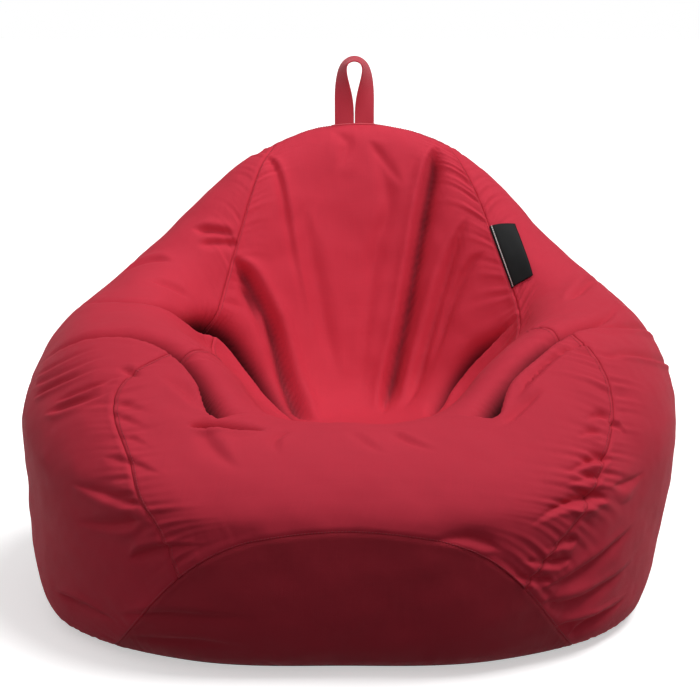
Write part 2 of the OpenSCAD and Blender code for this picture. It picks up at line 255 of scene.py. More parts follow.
def coons(left, right, front, back, u, v):
    """The inside of four curves on the disc, at a grid of shares u and v."""
    zero, one = np.zeros(1), np.ones(1)
    uu, vv = u[:, None, None], v[None, :, None]
    sides = mix(left(v)[None], right(v)[None], uu) + mix(front(u)[:, None], back(u)[:, None], vv)
    corners = mix(mix(front(zero), front(one), uu), mix(back(zero), back(one), uu), vv)
    return sides - corners


# ---- Folds of the cloth ----

# Each fold is a valley along places (angle from the front, distance on the disc), seen from
# outside. Its lip, the ridge beside it, is on the path's left, or on its right if negative.
Fold = namedtuple("Fold", "depth left right lip first last places")


def fold(depth, left, right, lip, first, last, *places):
    """A fold's depth, its widths and its lip in millimetres, and the shares of its path
    that it takes to open from its first end and to close at its last."""
    return Fold(depth, left, right, lip, first, last, np.array(places, float))


BACKREST_FOLDS = (
    fold(26, 17, 8, -7, 0.22, 0.3, (156, 0.385), (157, 0.32), (162, 0.245), (169, 0.165), (172, 0.1)),
    fold(15, 15, 8, -4, 0.35, 0.3, (142, 0.32), (148, 0.265), (154, 0.2), (158, 0.12)),
    fold(10, 10, 8, -2, 0.4, 0.4, (134, 0.315), (140, 0.28), (146, 0.235), (150, 0.18)),
    fold(6, 9, 9, 1, 0.4, 0.4, (178, 0.35), (173, 0.325), (166, 0.305)),
    fold(8, 14, 14, 2, 0.3, 0.4, (176, 0.325), (171, 0.29), (177, 0.25), (184, 0.15)),
    fold(6, 11, 11, 0, 0.4, 0.4, (-170, 0.385), (-175, 0.345), (-171, 0.31)),
    fold(25, 9, 17, 7, 0.2, 0.25, (-133, 0.315), (-138, 0.27), (-142, 0.225), (-139, 0.16),
         (-130, 0.1)),
    fold(7, 5, 9, 3, 0.2, 0.5, (-151, 0.385), (-152, 0.33), (-153, 0.28), (-158, 0.2)),
    fold(8, 6, 11, 2, 0.4, 0.4, (-133, 0.29), (-136, 0.265), (-138, 0.225)),
    fold(6, 12, 12, 2, 0.4, 0.4, (-158, 0.3), (-162, 0.24), (-166, 0.17)),
    fold(9, 6, 8, 3, 0.3, 0.3, (-129, 0.40), (-132, 0.36), (-136, 0.325)),
    fold(8, 6, 8, 3, 0.3, 0.3, (-127, 0.375), (-132, 0.34), (-136, 0.315)),
    fold(7, 6, 8, 2, 0.3, 0.4, (-116, 0.47), (-119, 0.43), (-120, 0.39)),
    fold(6, 6, 8, 2, 0.4, 0.4, (-109, 0.41), (-112, 0.375), (-116, 0.335)),
    fold(8, 6, 8, -3, 0.4, 0.4, (117, 0.5), (109, 0.45), (100, 0.42), (92, 0.405)),
    fold(48, 7, 14, 6, 0.4, 0.2, (117, 0.3), (124, 0.255), (132, 0.21), (135, 0.17), (130, 0.12)),
)
ARM_FOLDS = (
    fold(58, 19, 11, -7, 0.7, 0.12, (-107, 0.54), (-97, 0.46), (-94, 0.40), (-103, 0.34),
         (-118, 0.29), (-124, 0.24), (-123, 0.18), (-112, 0.12)),
    fold(50, 18, 7, -4, 0.72, 0.06, (-86, 0.6), (-77, 0.515), (-67, 0.45), (-53, 0.42),
         (-41, 0.425), (-30, 0.46)),
    fold(54, 7, 20, 4, 0.6, 0.06, (98, 0.475), (82, 0.455), (66, 0.435), (52, 0.425),
         (40, 0.43), (31, 0.465)),
    fold(10, 4, 5, 3, 0.4, 0.4, (66, 0.475), (56, 0.45), (45, 0.45), (36, 0.465)),
    fold(9, 5, 10, 2, 0.4, 0.4, (45, 0.47), (38, 0.475), (31, 0.49)),
    fold(9, 5, 8, 4, 0.3, 0.3, (101, 0.58), (88, 0.505), (74, 0.455), (67, 0.445)),
    fold(7, 4, 8, 4, 0.3, 0.3, (95, 0.64), (84, 0.575), (71, 0.515), (60, 0.49)),
    fold(34, 9, 5, -5, 0.35, 0.35, (-34, 0.495), (-28, 0.475), (-19, 0.46)),
    fold(6, 8, 14, 3, 0.3, 0.5, (-31, 0.49), (-27, 0.515), (-19, 0.56)),
    fold(7, 10, 8, -3, 0.4, 0.4, (-49, 0.455), (-40, 0.45), (-32, 0.465)),
    fold(8, 5, 5, 2, 0.5, 0.5, (-56, 0.485), (-50, 0.475)),
    fold(4, 5, 4, -2, 0.3, 0.5, (-80, 0.6), (-72, 0.535), (-64, 0.47)),
    fold(4, 4, 5, -2, 0.3, 0.5, (-77, 0.61), (-68, 0.54), (-60, 0.475)),
    fold(5, 5, 4, -3, 0.3, 0.5, (-73, 0.62), (-66, 0.555), (-58, 0.495)),
    fold(5, 5, 4, -3, 0.3, 0.5, (-64, 0.59), (-57, 0.53), (-53, 0.49)),
    fold(5, 5, 5, -3, 0.3, 0.5, (-65, 0.62), (-57, 0.56), (-51, 0.51)),
)
FRONT_FOLDS = (
    fold(9, 5, 7, 2, 0.4, 0.6, (52, 0.575), (50, 0.55), (46, 0.545)),
    fold(6, 4, 5, 2, 0.4, 0.6, (50, 0.56), (52, 0.585), (53, 0.61)),
    fold(5, 4, 6, 2, 0.35, 0.65, (48, 0.58), (45, 0.565), (42, 0.565)),
    fold(11, 5, 9, 3, 0.35, 0.65, (47, 0.64), (43, 0.62), (36, 0.625)),
    fold(6, 5, 8, 2, 0.35, 0.65, (44, 0.67), (40, 0.655), (35, 0.65)),
    fold(14, 6, 12, 4, 0.35, 0.65, (44, 0.73), (40, 0.71), (34, 0.71), (28, 0.745)),
    fold(6, 5, 8, 2, 0.35, 0.65, (38, 0.78), (35, 0.78), (31, 0.785)),
    fold(8, 5, 8, 2, 0.35, 0.65, (37, 0.8), (33, 0.8), (27, 0.79)),
    fold(7, 5, 7, 2, 0.35, 0.65, (34, 0.82), (31, 0.815), (25, 0.805)),
    fold(5, 5, 8, -2, 0.4, 0.6, (45, 0.7), (50, 0.71), (56, 0.71)),
    fold(9, 8, 12, 3, 0.35, 0.65, (33, 0.825), (39, 0.82), (47, 0.8), (54, 0.785)),
    fold(10, 8, 13, 3, 0.35, 0.65, (32, 0.84), (39, 0.85), (47, 0.84), (57, 0.825)),
    fold(9, 6, 9, 3, 0.2, 0.6, (37, 0.88), (44, 0.88), (52, 0.87)),
    fold(10, 6, 9, 3, 0.2, 0.6, (41, 0.9), (47, 0.885), (56, 0.87)),
    fold(6, 6, 9, 2, 0.3, 0.5, (-32, 0.705), (-40, 0.7), (-50, 0.71)),
    fold(7, 6, 9, 2, 0.3, 0.5, (-33, 0.74), (-38, 0.76), (-48, 0.775)),
    fold(8, 5, 9, 3, 0.3, 0.6, (-36, 0.8), (-30, 0.78), (-22, 0.765)),
    fold(7, 5, 8, 3, 0.3, 0.6, (-58, 0.87), (-48, 0.87), (-40, 0.875)),
    fold(4, 5, 6, 1, 0.4, 0.6, (-51, 0.53), (-46, 0.515), (-41, 0.505)),
    fold(4, 4, 6, 1, 0.4, 0.6, (-49, 0.545), (-44, 0.535), (-39, 0.53)),
    fold(3, 4, 6, 1, 0.4, 0.6, (-45, 0.58), (-41, 0.56), (-36, 0.56)),
    fold(4, 5, 8, 1, 0.4, 0.6, (-44, 0.62), (-38, 0.605), (-31, 0.61)),
    fold(5, 6, 8, 2, 0.4, 0.5, (-40, 0.865), (-28, 0.85), (-12, 0.845)),
    fold(4, 6, 7, 2, 0.4, 0.5, (-39, 0.895), (-27, 0.885), (-16, 0.885)),
    fold(5, 5, 8, 2, 0.3, 0.5, (-14, 0.455), (-16, 0.48), (-13, 0.52)),
    fold(4, 5, 7, 1, 0.3, 0.5, (0, 0.45), (3, 0.48), (7, 0.51)),
    fold(5, 5, 8, 2, 0.3, 0.5, (9, 0.45), (12, 0.475), (17, 0.51)),
    fold(5, 6, 9, 2, 0.3, 0.5, (24, 0.775), (19, 0.75), (13, 0.745)),
)
REAR_FOLDS = (
    fold(8, 9, 12, 3, 0.3, 0.5, (-104, 0.62), (-116, 0.64), (-130, 0.7)),
    fold(9, 8, 12, 3, 0.3, 0.5, (-92, 0.78), (-108, 0.75), (-124, 0.78)),
    fold(7, 8, 10, -3, 0.3, 0.5, (-100, 0.86), (-118, 0.85), (-136, 0.88)),
    fold(8, 10, 9, -3, 0.3, 0.5, (102, 0.66), (116, 0.63), (132, 0.68)),
    fold(9, 9, 11, -3, 0.3, 0.5, (88, 0.77), (104, 0.79), (122, 0.76)),
    fold(7, 8, 10, 3, 0.3, 0.5, (98, 0.88), (114, 0.86), (132, 0.88)),
    fold(9, 8, 11, -3, 0.2, 0.6, (150, 0.55), (158, 0.57), (167, 0.62)),
    fold(8, 8, 11, -3, 0.2, 0.6, (147, 0.66), (156, 0.69), (165, 0.75)),
    fold(8, 7, 10, 3, 0.2, 0.6, (144, 0.82), (153, 0.81), (164, 0.85)),
    fold(9, 8, 11, 3, 0.2, 0.6, (-150, 0.53), (-158, 0.56), (-168, 0.6)),
    fold(8, 8, 11, 3, 0.2, 0.6, (-147, 0.7), (-156, 0.72), (-166, 0.78)),
    fold(7, 7, 10, -3, 0.2, 0.6, (-144, 0.84), (-154, 0.83), (-164, 0.87)),
    fold(7, 9, 11, 2, 0.3, 0.5, (172, 0.44), (170, 0.5), (174, 0.57)),
    fold(7, 9, 11, -2, 0.3, 0.5, (-170, 0.44), (-168, 0.5), (-172, 0.58)),
)
FOLDS = BACKREST_FOLDS + ARM_FOLDS + FRONT_FOLDS + REAR_FOLDS
# Points along a fold's path, and how many points of the cloth are worked out at a time
PATH_STEPS = 90
CHUNK = 20000
# How a fold is shaped: how far it runs past its ends in mm, its width at a closed end as a
# share, the power of its valley's sides, and its lip's place and width in widths of that side
END_REACH = 12
END_WIDTH = 0.35
VALLEY_POWER = 1.6
LIP_PLACE = 1.9
LIP_WIDTH = 1.3


def fold_offset(p, n, spread=1.0):
    """How far the folds move points with these outward directions, in metres."""
    total = np.zeros(len(p))
    v = np.linspace(0, 1, PATH_STEPS)
    for each in FOLDS:
        route = through(each.places, v)
        at = disc(route[:, 0], route[:, 1])
        line, up = skin(at), outward(at)
        along = unit(np.gradient(line, axis=0))
        reach = 3 * max(each.left, each.right) * MM * spread
        near = np.all((p > line.min(0) - reach) & (p < line.max(0) + reach), axis=1)
        index = np.nonzero(near)[0]
        for part in np.array_split(index, len(index) // CHUNK + 1):
            if len(part):
                total[part] += one_fold(each, p[part], n[part], line, up, along, v, spread)
    return total


def one_fold(each, p, n, line, up, along, v, spread):
    """One fold's offset at the points beside its path."""
    gap = p[:, None] - line[None]
    nearest = np.argmin((gap**2).sum(-1), 1)
    gap = gap[np.arange(len(p)), nearest]
    way = along[nearest]
    off = gap - way * (gap * way).sum(-1, keepdims=True)
    same = smooth(0.1, 0.5, (n * up[nearest]).sum(-1))
    past = np.linalg.norm(gap - off, axis=-1) / MM
    share = v[nearest]
    grow = smooth(0, each.first, share) * smooth(1, 1 - each.last, share)
    grow = grow * np.exp(-((past / END_REACH) ** 2))
    side = np.sign((np.cross(way, off) * up[nearest]).sum(-1))
    s = side * np.linalg.norm(off, axis=-1) / MM / spread / (END_WIDTH + (1 - END_WIDTH) * grow)
    width = np.where(s > 0, each.left, each.right)
    valley = -each.depth * np.exp(-np.abs(s / width) ** VALLEY_POWER)
    lip_w = each.left if each.lip > 0 else each.right
    from_lip = (s - np.sign(each.lip) * LIP_PLACE * lip_w) / (LIP_WIDTH * lip_w)
    ridge = abs(each.lip) * np.exp(-from_lip ** 2)
    return (valley + ridge) * grow * same * MM


def lumps(p, waves, length, seed):
    """Smooth random waves of about this length through space, from -1 to 1."""
    rng = np.random.default_rng(seed)
    total = np.zeros(p.shape[:-1])
    for _ in range(waves):
        direction = unit(rng.normal(size=3))
        k = 2 * math.pi / (length * rng.uniform(0.7, 1.5))
        total += np.cos(p @ direction * k + rng.uniform(0, 2 * math.pi))
    return total / math.sqrt(waves * 2)


ZIP_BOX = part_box("zip_tape_left")[0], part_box("zip_tape_right")[1]
ANCHOR_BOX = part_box("handle_anchor")
# The back's cloth is beyond this, and the cloth is flat this far below the handle's ends
BACK_Y = 0.3
ANCHOR_DROP = 0.03
# Lumps of the beads under the cloth: number of waves, their length, height in mm and seed
BEAD_LUMPS = ((9, 0.16, 2.2, SEED), (12, 0.055, 0.7, SEED + 1), (14, 0.028, 0.25, SEED + 4))


def calm(p):
    """1 where the cloth is free, and 0 under the zip and the handle, where it lies flat."""
    x, y, z = np.moveaxis(p, -1, 0)
    lo, hi = ZIP_BOX
    out = np.maximum.reduce([lo[0] - x, x - hi[0], lo[2] - z, z - hi[2], BACK_Y - y])
    zip_free = smooth(0.004, 0.035, out)
    lo, hi = ANCHOR_BOX
    out = np.maximum.reduce([lo[0] - x, x - hi[0], lo[1] - y, y - hi[1],
                             lo[2] - ANCHOR_DROP - z])
    return zip_free * smooth(0.002, 0.03, out)


def free_offset(p, n):
    """How far folds and the beads' lumps move the cloth, away from its seams."""
    flat = p.reshape(-1, 3)
    offset = fold_offset(flat, n.reshape(-1, 3)).reshape(p.shape[:-1])
    for waves, length, height, seed in BEAD_LUMPS:
        offset += lumps(p, waves, length, seed) * height * MM
    return offset * calm(p) * smooth(0, 0.03, p[..., 2])


# ---- Panels ----


def lengths(points, axis):
    """Distances along a grid's lines from their first points."""
    step = np.linalg.norm(np.diff(points, axis=axis), axis=-1)
    start = np.zeros_like(np.take(step, [0], axis))
    return np.concatenate([start, np.cumsum(step, axis)], axis)


# Lengths of the gathers' waves, and of the stretch over which they swell and fade
GATHERS = (0.012, 0.017, 0.023, 0.034)
GATHER_SWELL = 0.19


def pucker(s, seed):
    """The gathers along a seam, at distances along it."""
    rng = np.random.default_rng(seed)
    wave = np.zeros_like(s)
    for length in GATHERS:
        wave += np.cos(2 * math.pi * s / length + rng.uniform(0, 7))
    swell = 0.5 + 0.5 * np.cos(2 * math.pi * s / GATHER_SWELL + rng.uniform(0, 7))
    return wave / 2 * (0.35 + 0.65 * swell)


def spaced(n, ends=0.35):
    """n + 1 shares from 0 to 1, closer together near both ends."""
    x = np.linspace(0, 1, n + 1)
    return x - ends * np.sin(2 * math.pi * x) / (2 * math.pi)


class Edge:
    """What a seam does to the cloth on one side of it, in millimetres: how deep it dips,
    how high its gathers are, and how far they reach."""

    DIP_WIDTH = 2.4
    DIP_POWER = 1.3
    RIDGE_SHARE = 0.35
    RIDGE_PLACE = 7
    RIDGE_WIDTH = 5

    def __init__(self, dip=1.6, gather=0.9, reach=14, seed=0):
        self.dip, self.gather, self.reach, self.seed = dip, gather, reach, seed

    def offset(self, d, s):
        """How far cloth moves outward at distances d from the seam and s along it."""
        d = d / MM
        dip = -self.dip * np.exp(-(d / self.DIP_WIDTH) ** self.DIP_POWER)
        from_ridge = (d - self.RIDGE_PLACE) / self.RIDGE_WIDTH
        ridge = self.RIDGE_SHARE * self.dip * np.exp(-from_ridge ** 2)
        rise = (d / self.reach) * np.exp(1 - d / self.reach)
        return (dip + ridge + self.gather * rise * pucker(s, self.seed)) * MM


# The panels' attribute that holds how much painted shade each point gets, from 0 to 1, the deeper in
# a fold the darker, and how deep a fold is where the painted shade starts, and where it is darkest,
# in mm
FOLD_SHADE_ATTRIBUTE = "hollow"
PAINTED_SHADE_DEPTHS = (8, 34)


def panel_points(curves, nu, nv, edges):
    """A panel's points, outward directions, cloth coordinates and painted shade, darker the deeper in
    a fold each point is. edges are its left, right, front and back Edge, or None where it has none."""
    u, v = spaced(nu), spaced(nv)
    d = coons(*curves, u, v)
    p, n = skin(d), outward(d)
    across, along = lengths(p, 0), lengths(p, 1)
    offset = free_offset(p, n)
    runs = ((across, along[:1]), (across[-1:] - across, along[-1:]),
            (along, across[:, :1]), (along[:, -1:] - along, across[:, -1:]))
    held = calm(p)
    # Painted shade: cloth is painted darker the deeper it lies in a fold.
    shade = smooth(*PAINTED_SHADE_DEPTHS, -offset / MM)
    for edge, (distance, s) in zip(edges, runs):
        if edge is not None:
            offset = offset + edge.offset(distance, s) * held
    middle = nu // 2
    cloth = np.stack([across - across[middle:middle + 1], along], -1)
    return p + n * offset[..., None], n, cloth, shade


def grid_faces(nu, nv):
    """The faces of a grid of nu by nv cells."""
    a = (np.arange(nu)[:, None] * (nv + 1) + np.arange(nv)[None]).reshape(-1)
    return np.stack([a, a + 1, a + nv + 2, a + nv + 1], -1)


def rim_of(nu, nv):
    """The rim's point numbers, once round a grid."""
    w = nv + 1
    return np.concatenate([np.arange(nv), np.arange(nu) * w + nv, nu * w + nv - np.arange(nv),
                           (nu - np.arange(nu)) * w])


def mesh_object(name, points, faces, cloth=None):
    """A new smooth piece. cloth is each point's place on its cloth, in metres."""
    mesh = bpy.data.meshes.new(name)
    mesh.from_pydata([tuple(p) for p in points.tolist()], [], [tuple(f) for f in faces])
    if cloth is not None:
        layer = mesh.uv_layers.new(name="cloth")
        corner = np.zeros(len(mesh.loops), np.int32)
        mesh.loops.foreach_get("vertex_index", corner)
        layer.data.foreach_set("uv", cloth[corner].astype(np.float32).reshape(-1))
    mesh.polygons.foreach_set("use_smooth", [True] * len(mesh.polygons))
    mesh.update()
    piece = bpy.data.objects.new(name, mesh)
    bpy.context.scene.collection.objects.link(piece)
    return piece


# Rows of a panel's turned-in seam allowance: how far in from the edge and how deep
ALLOWANCE = ((0.0003, 0.0012), (0.0003, 0.0035), (0.0006, 0.007))
ALLOWANCE_LOW = 0.0015


def sewn_panel(name, curves, nu, nv, edges):
    """One panel of the cover, with its edges turned in along the seams."""
    p, n, cloth, shade = panel_points(curves, nu, nv, edges)
    rim = rim_of(nu, nv)
    rim_i, rim_j = rim // (nv + 1), rim % (nv + 1)
    inner = p[np.clip(rim_i, 1, nu - 1), np.clip(rim_j, 1, nv - 1)]
    flat_p, flat_cloth, flat_shade = p.reshape(-1, 3), cloth.reshape(-1, 2), shade.reshape(-1)
    rim_p, rim_n = flat_p[rim], n.reshape(-1, 3)[rim]
    inward = unit(inner - rim_p)
    points = [flat_p]
    for side, depth in ALLOWANCE:
        row = rim_p + inward * side - rim_n * depth
        row[:, 2] = np.maximum(row[:, 2], ALLOWANCE_LOW)
        points.append(row)
    faces = grid_faces(nu, nv).tolist()
    count, first = len(rim), (nu + 1) * (nv + 1)
    rows = [rim] + [first + k * count + np.arange(count) for k in range(len(ALLOWANCE))]
    for above, below in zip(rows, rows[1:]):
        for k in range(count):
            m = (k + 1) % count
            faces.append((int(above[m]), int(above[k]), int(below[k]), int(below[m])))
    coordinates = np.concatenate([flat_cloth] + [flat_cloth[rim]] * len(ALLOWANCE))
    piece = mesh_object(name, np.concatenate(points), faces, coordinates)
    # Each point's painted shade, stored on the mesh for the cloth's finish.
    shades = np.concatenate([flat_shade] + [flat_shade[rim]] * len(ALLOWANCE))
    hollow = piece.data.attributes.new(FOLD_SHADE_ATTRIBUTE, "FLOAT", "POINT")
    hollow.data.foreach_set("value", shades.astype(np.float32))
    return piece, p, n


# ---- Top stitching ----

STITCH_PITCH = 0.0042
STITCH_L = 0.0032
STITCH_R = 0.00055
# How many cells of the grid a row of stitches is in from the seam
STITCH_ROW = 2
# A stitch's thick middle, as a share of its length, how far it stands out of the cloth, in
# radii, how many sides it has, and how many points
STITCH_MIDDLE = 0.6
STITCH_LIFT = 0.6
STITCH_SIDES = 4
STITCH_POINTS = 2 * STITCH_SIDES + 2


def stitch_lines(p, n, sides):
    """The grid lines that the top stitching follows, along these sides of a panel."""
    lines = {"left": (p[STITCH_ROW], n[STITCH_ROW]),
             "right": (p[-1 - STITCH_ROW], n[-1 - STITCH_ROW]),
             "front": (p[:, STITCH_ROW], n[:, STITCH_ROW]),
             "back": (p[:, -1 - STITCH_ROW], n[:, -1 - STITCH_ROW])}
    return [lines[side] for side in sides]


def stitches(line, up):
    """The points of the stitches along a line on the cloth, in a row for each stitch."""
    run = np.concatenate([[0], np.cumsum(np.linalg.norm(np.diff(line, axis=0), axis=1))])
    middle = np.arange(STITCH_PITCH, run[-1] - STITCH_PITCH, STITCH_PITCH)

    def at(s, values):
        return np.stack([np.interp(s, run, values[:, k]) for k in range(3)], -1)

    half = STITCH_L / 2
    out = unit(at(middle, up))
    start, end = at(middle - half, line), at(middle + half, line)
    along = unit(end - start)
    side = np.cross(along, out)
    lift = out * STITCH_R * STITCH_LIFT
    rings = [at(middle + shift, line) + lift + way * STITCH_R
             for shift in (-half * STITCH_MIDDLE, half * STITCH_MIDDLE)
             for way in (side, out, -side, -out)]
    return np.stack([start - lift, *rings, end - lift], 1)


def stitch_faces(count):
    """The faces of this many stitches: a pointed start, four sides and a pointed end."""
    first = [(1 + k, 1 + (k + 1) % STITCH_SIDES) for k in range(STITCH_SIDES)]
    second = [(a + STITCH_SIDES, b + STITCH_SIDES) for a, b in first]
    faces = [(0, b, a) for a, b in first] + [(STITCH_POINTS - 1, a, b) for a, b in second]
    faces += [(a, b, d, c) for (a, b), (c, d) in zip(first, second)]
    return [tuple(STITCH_POINTS * i + corner for corner in face)
            for i in range(count) for face in faces]


# ---- Finishes ----

# The colour sockets of a Mix node: its factor and its two colours, and its result
MIX_COLOUR_INPUTS = (0, 6, 7)
MIX_COLOUR_OUTPUT = 2


class Wire:
    """A value or vector in a node tree. Arithmetic on it adds Math nodes."""

    def __init__(self, nodes, socket):
        self.nodes, self.socket = nodes, socket

    def _math(self, operation, *values):
        settings = {"operation": operation}
        return self.nodes.node("ShaderNodeMath", settings, dict(enumerate(values)))

    def __add__(self, other):
        return self._math("ADD", self, other)

    __radd__ = __add__

    def __sub__(self, other):
        return self._math("SUBTRACT", self, other)

    def __rsub__(self, other):
        return self._math("SUBTRACT", other, self)

    def __mul__(self, other):
        return self._math("MULTIPLY", self, other)

    __rmul__ = __mul__

    def sine(self):
        """The sine of this value, in radians."""
        return self._math("SINE", self)

    def above(self, edge):
        """1 where this value is above the edge, and 0 elsewhere."""
        return self._math("GREATER_THAN", self, edge)

    def size(self):
        """This value without its sign."""
        return self._math("ABSOLUTE", self)


class Nodes:
    """A node tree and the one way in which nodes are added to it."""

    def __init__(self, tree):
        self.tree = tree

    def node(self, kind, settings=None, inputs=None, output=0):
        """A new node: its settings first, then its sockets' values or links."""
        node = self.tree.nodes.new(kind)
        for name, value in (settings or {}).items():
            if name == "stops":
                ramp = node.color_ramp
                while len(ramp.elements) < len(value):
                    ramp.elements.new(1)
                for stop, (place, colour) in zip(ramp.elements, value):
                    stop.position, stop.color = place, (*colour, 1)
            else:
                setattr(node, name, value)
        for name, value in (inputs or {}).items():
            if isinstance(value, Wire):
                self.tree.links.new(value.socket, node.inputs[name])
            else:
                node.inputs[name].default_value = value
        return Wire(self, node.outputs[output])

    def parts(self, vector):
        """A vector's three values."""
        first = self.node("ShaderNodeSeparateXYZ", None, {0: vector})
        return [Wire(self, socket) for socket in first.socket.node.outputs]


class Finish(Nodes):
    """A material, made with nodes."""

    def __init__(self, name):
        self.material = bpy.data.materials.new(name)
        self.material.use_nodes = True
        super().__init__(self.material.node_tree)
        self.tree.nodes.clear()
        self.out = self.tree.nodes.new("ShaderNodeOutputMaterial")

    def cloth(self):
        """The cloth's own coordinates, in metres across and along the piece."""
        return self.node("ShaderNodeUVMap", {"uv_map": "cloth"})

    def place(self):
        """The place in the frame, in metres."""
        return self.node("ShaderNodeTexCoord", output="Object")

    def scaled(self, vector, scale):
        return self.node("ShaderNodeVectorMath", {"operation": "MULTIPLY"}, {0: vector, 1: scale})

    def noise(self, vector, scale, detail=2.0, rough=0.5):
        return self.node("ShaderNodeTexNoise", None,
                         {"Vector": vector, "Scale": scale, "Detail": detail, "Roughness": rough})

    def mix(self, factor, a, b):
        """A colour between two colours."""
        ends = [c if isinstance(c, Wire) else (*c, 1) for c in (a, b)]
        sockets = dict(zip(MIX_COLOUR_INPUTS, (factor, *ends)))
        return self.node("ShaderNodeMix", {"data_type": "RGBA"}, sockets, MIX_COLOUR_OUTPUT)

    def bump(self, height, distance, strength):
        """A normal that follows this height."""
        inputs = {"Height": height, "Distance": distance, "Strength": strength}
        return self.node("ShaderNodeBump", None, inputs)

    def shade(self, **inputs):
        """The surface's shader. Names have _ for spaces."""
        named = {k.replace("_", " "): v for k, v in inputs.items()}
        for name in ("Base Color", "Sheen Tint"):
            if name in named and not isinstance(named[name], Wire):
                named[name] = (*named[name], 1)
        surface = self.node("ShaderNodeBsdfPrincipled", None, named)
        self.tree.links.new(surface.socket, self.out.inputs["Surface"])
        return self.material


def tint(colour, factor):
    """A lighter or darker colour."""
    return tuple(c * factor for c in colour)


def woven(name, colour, pitch, depth, roughness=0.68, sheen=0.03, mottle=0.10,
          slub=0.07, hollow=0.0):
    """Plain woven cloth: threads over and under each other, slubs and a faint mottle.
    The last argument is how much painted shade darkens it in deep folds."""
    finish = Finish(name)
    cloth = finish.cloth()
    across, along, _ = finish.parts(cloth)
    turn = 2 * math.pi / pitch
    over = (across * turn).sine() * (along * turn).sine()
    thick, thin = 0.9 / pitch, 0.02 / pitch
    warp = finish.noise(finish.scaled(cloth, (thick, thin, 0)), 1.0)
    weft = finish.noise(finish.scaled(cloth, (thin, thick, 0)), 1.0)
    cloud = finish.noise(finish.place(), 9.0, 3.0, 0.55)
    fine = finish.noise(finish.place(), 55.0)
    mottled = finish.mix(cloud * 0.7 + fine * 0.3, tint(colour, 1 - mottle), tint(colour, 1 + mottle))
    vary = 2.2 * slub
    threads = finish.mix(warp * 0.5 + weft * 0.5, tint(colour, 1 - vary), tint(colour, 1 + vary))
    base = finish.mix(0.5, mottled, threads)
    # Painted shade: deep in folds the colour is mixed towards near black.
    if hollow > 0:
        deep = finish.node("ShaderNodeAttribute", {"attribute_name": FOLD_SHADE_ATTRIBUTE}, output="Fac")
        base = finish.mix(deep * hollow, base, tint(colour, 0.02))
    normal = finish.bump(over * 0.5 + warp * 0.9 + weft * 0.9, depth, 0.55)
    return finish.shade(Base_Color=base, Roughness=fine * 0.12 + (roughness - 0.06), Normal=normal,
                        Sheen_Weight=sheen, Sheen_Roughness=0.45, Sheen_Tint=(1.0, 0.82, 0.82),
                        Specular_IOR_Level=0.16)


def satin(name, colour, line):
    """A woven satin label. line is a stitched line's colour, its place across the label,
    its width and the pitch of its stitches."""
    finish = Finish(name)
    cloth = finish.cloth()
    across, along, _ = finish.parts(cloth)
    threads = finish.noise(finish.scaled(cloth, (300, 4200, 0)), 1.0)
    base = finish.mix(threads, tint(colour, 0.75), tint(colour, 1.3))
    shade, place, width, stitch = line
    on_line = 1 - (across - place).size().above(width / 2)
    dash = ((along * (2 * math.pi / stitch)).sine() + 0.75).above(0)
    base = finish.mix(on_line * dash, base, shade)
    normal = finish.bump(threads, 0.0001, 0.5)
    return finish.shade(Base_Color=base, Roughness=threads * 0.15 + 0.55, Normal=normal,
                        Specular_IOR_Level=0.2)


def ribbed(name, colour, pitch):
    """Webbing and zip tape: slanted ribs that meet in a herringbone."""
    finish = Finish(name)
    cloth = finish.cloth()
    across, along, _ = finish.parts(cloth)
    slant = across.size() * 0.9 + along
    rib = (slant * (2 * math.pi / pitch)).sine() * 0.5 + 0.5
    fuzz = finish.noise(finish.scaled(cloth, (2500, 900, 0)), 1.0)
    base = finish.mix(rib * 0.6 + fuzz * 0.4, tint(colour, 0.72), tint(colour, 1.12))
    normal = finish.bump(rib + fuzz * 0.6, 0.0003, 0.8)
    return finish.shade(Base_Color=base, Roughness=fuzz * 0.15 + 0.6, Normal=normal,
                        Sheen_Weight=0.2, Sheen_Roughness=0.5, Specular_IOR_Level=0.3)


def twisted(name, colour):
    """Sewing thread of plies twisted together."""
    finish = Finish(name)
    x, y, z = finish.parts(finish.place())
    lay = 0.0007
    ply = ((x + y + z) * (2 * math.pi / lay)).sine() * 0.5 + 0.5
    base = finish.mix(ply, tint(colour, 0.8), tint(colour, 1.15))
    return finish.shade(Base_Color=base, Roughness=ply * 0.1 + 0.5,
                        Normal=finish.bump(ply, 0.0001, 0.5))


def moulded(name, colour):
    """Moulded plastic with a fine grain."""
    finish = Finish(name)
    grain = finish.noise(finish.place(), 900.0)
    base = finish.mix(grain, tint(colour, 0.85), tint(colour, 1.1))
    return finish.shade(Base_Color=base, Roughness=grain * 0.2 + 0.3,
                        Normal=finish.bump(grain, 0.00005, 0.4))


def plated(name, colour):
    """Nickel-plated zinc with fine tumbling marks."""
    finish = Finish(name)
    grain = finish.noise(finish.place(), 1400.0, 3.0)
    wear = finish.noise(finish.place(), 260.0)
    base = finish.mix(wear, tint(colour, 0.8), tint(colour, 1.15))
    roughness = grain * 0.2 + wear * 0.15 + 0.12
    return finish.shade(Base_Color=base, Metallic=1.0, Roughness=roughness,
                        Normal=finish.bump(grain, 0.00003, 0.3))


def beaded(name, colour):
    """Loose foam beads seen as a heap."""
    finish = Finish(name)
    bead = finish.node("ShaderNodeTexVoronoi", {"feature": "F1"},
                       {"Vector": finish.place(), "Scale": 260.0})
    # Colour darker towards each bead's rim: painted shade in the gaps between beads.
    base = finish.mix(bead * 1.4, colour, tint(colour, 0.72))
    return finish.shade(Base_Color=base, Roughness=0.75,
                        Normal=finish.bump(1 - bead * 1.5, 0.002, 0.9))


def paper(name, colour):
    """The studio's pale floor."""
    finish = Finish(name)
    grain = finish.noise(finish.place(), 40.0)
    base = finish.mix(grain, tint(colour, 0.995), colour)
    return finish.shade(Base_Color=base, Roughness=0.9, Specular_IOR_Level=0.05,
                        Emission_Color=(1, 1, 1, 1), Emission_Strength=0.5)


# ---- What a user would change ----


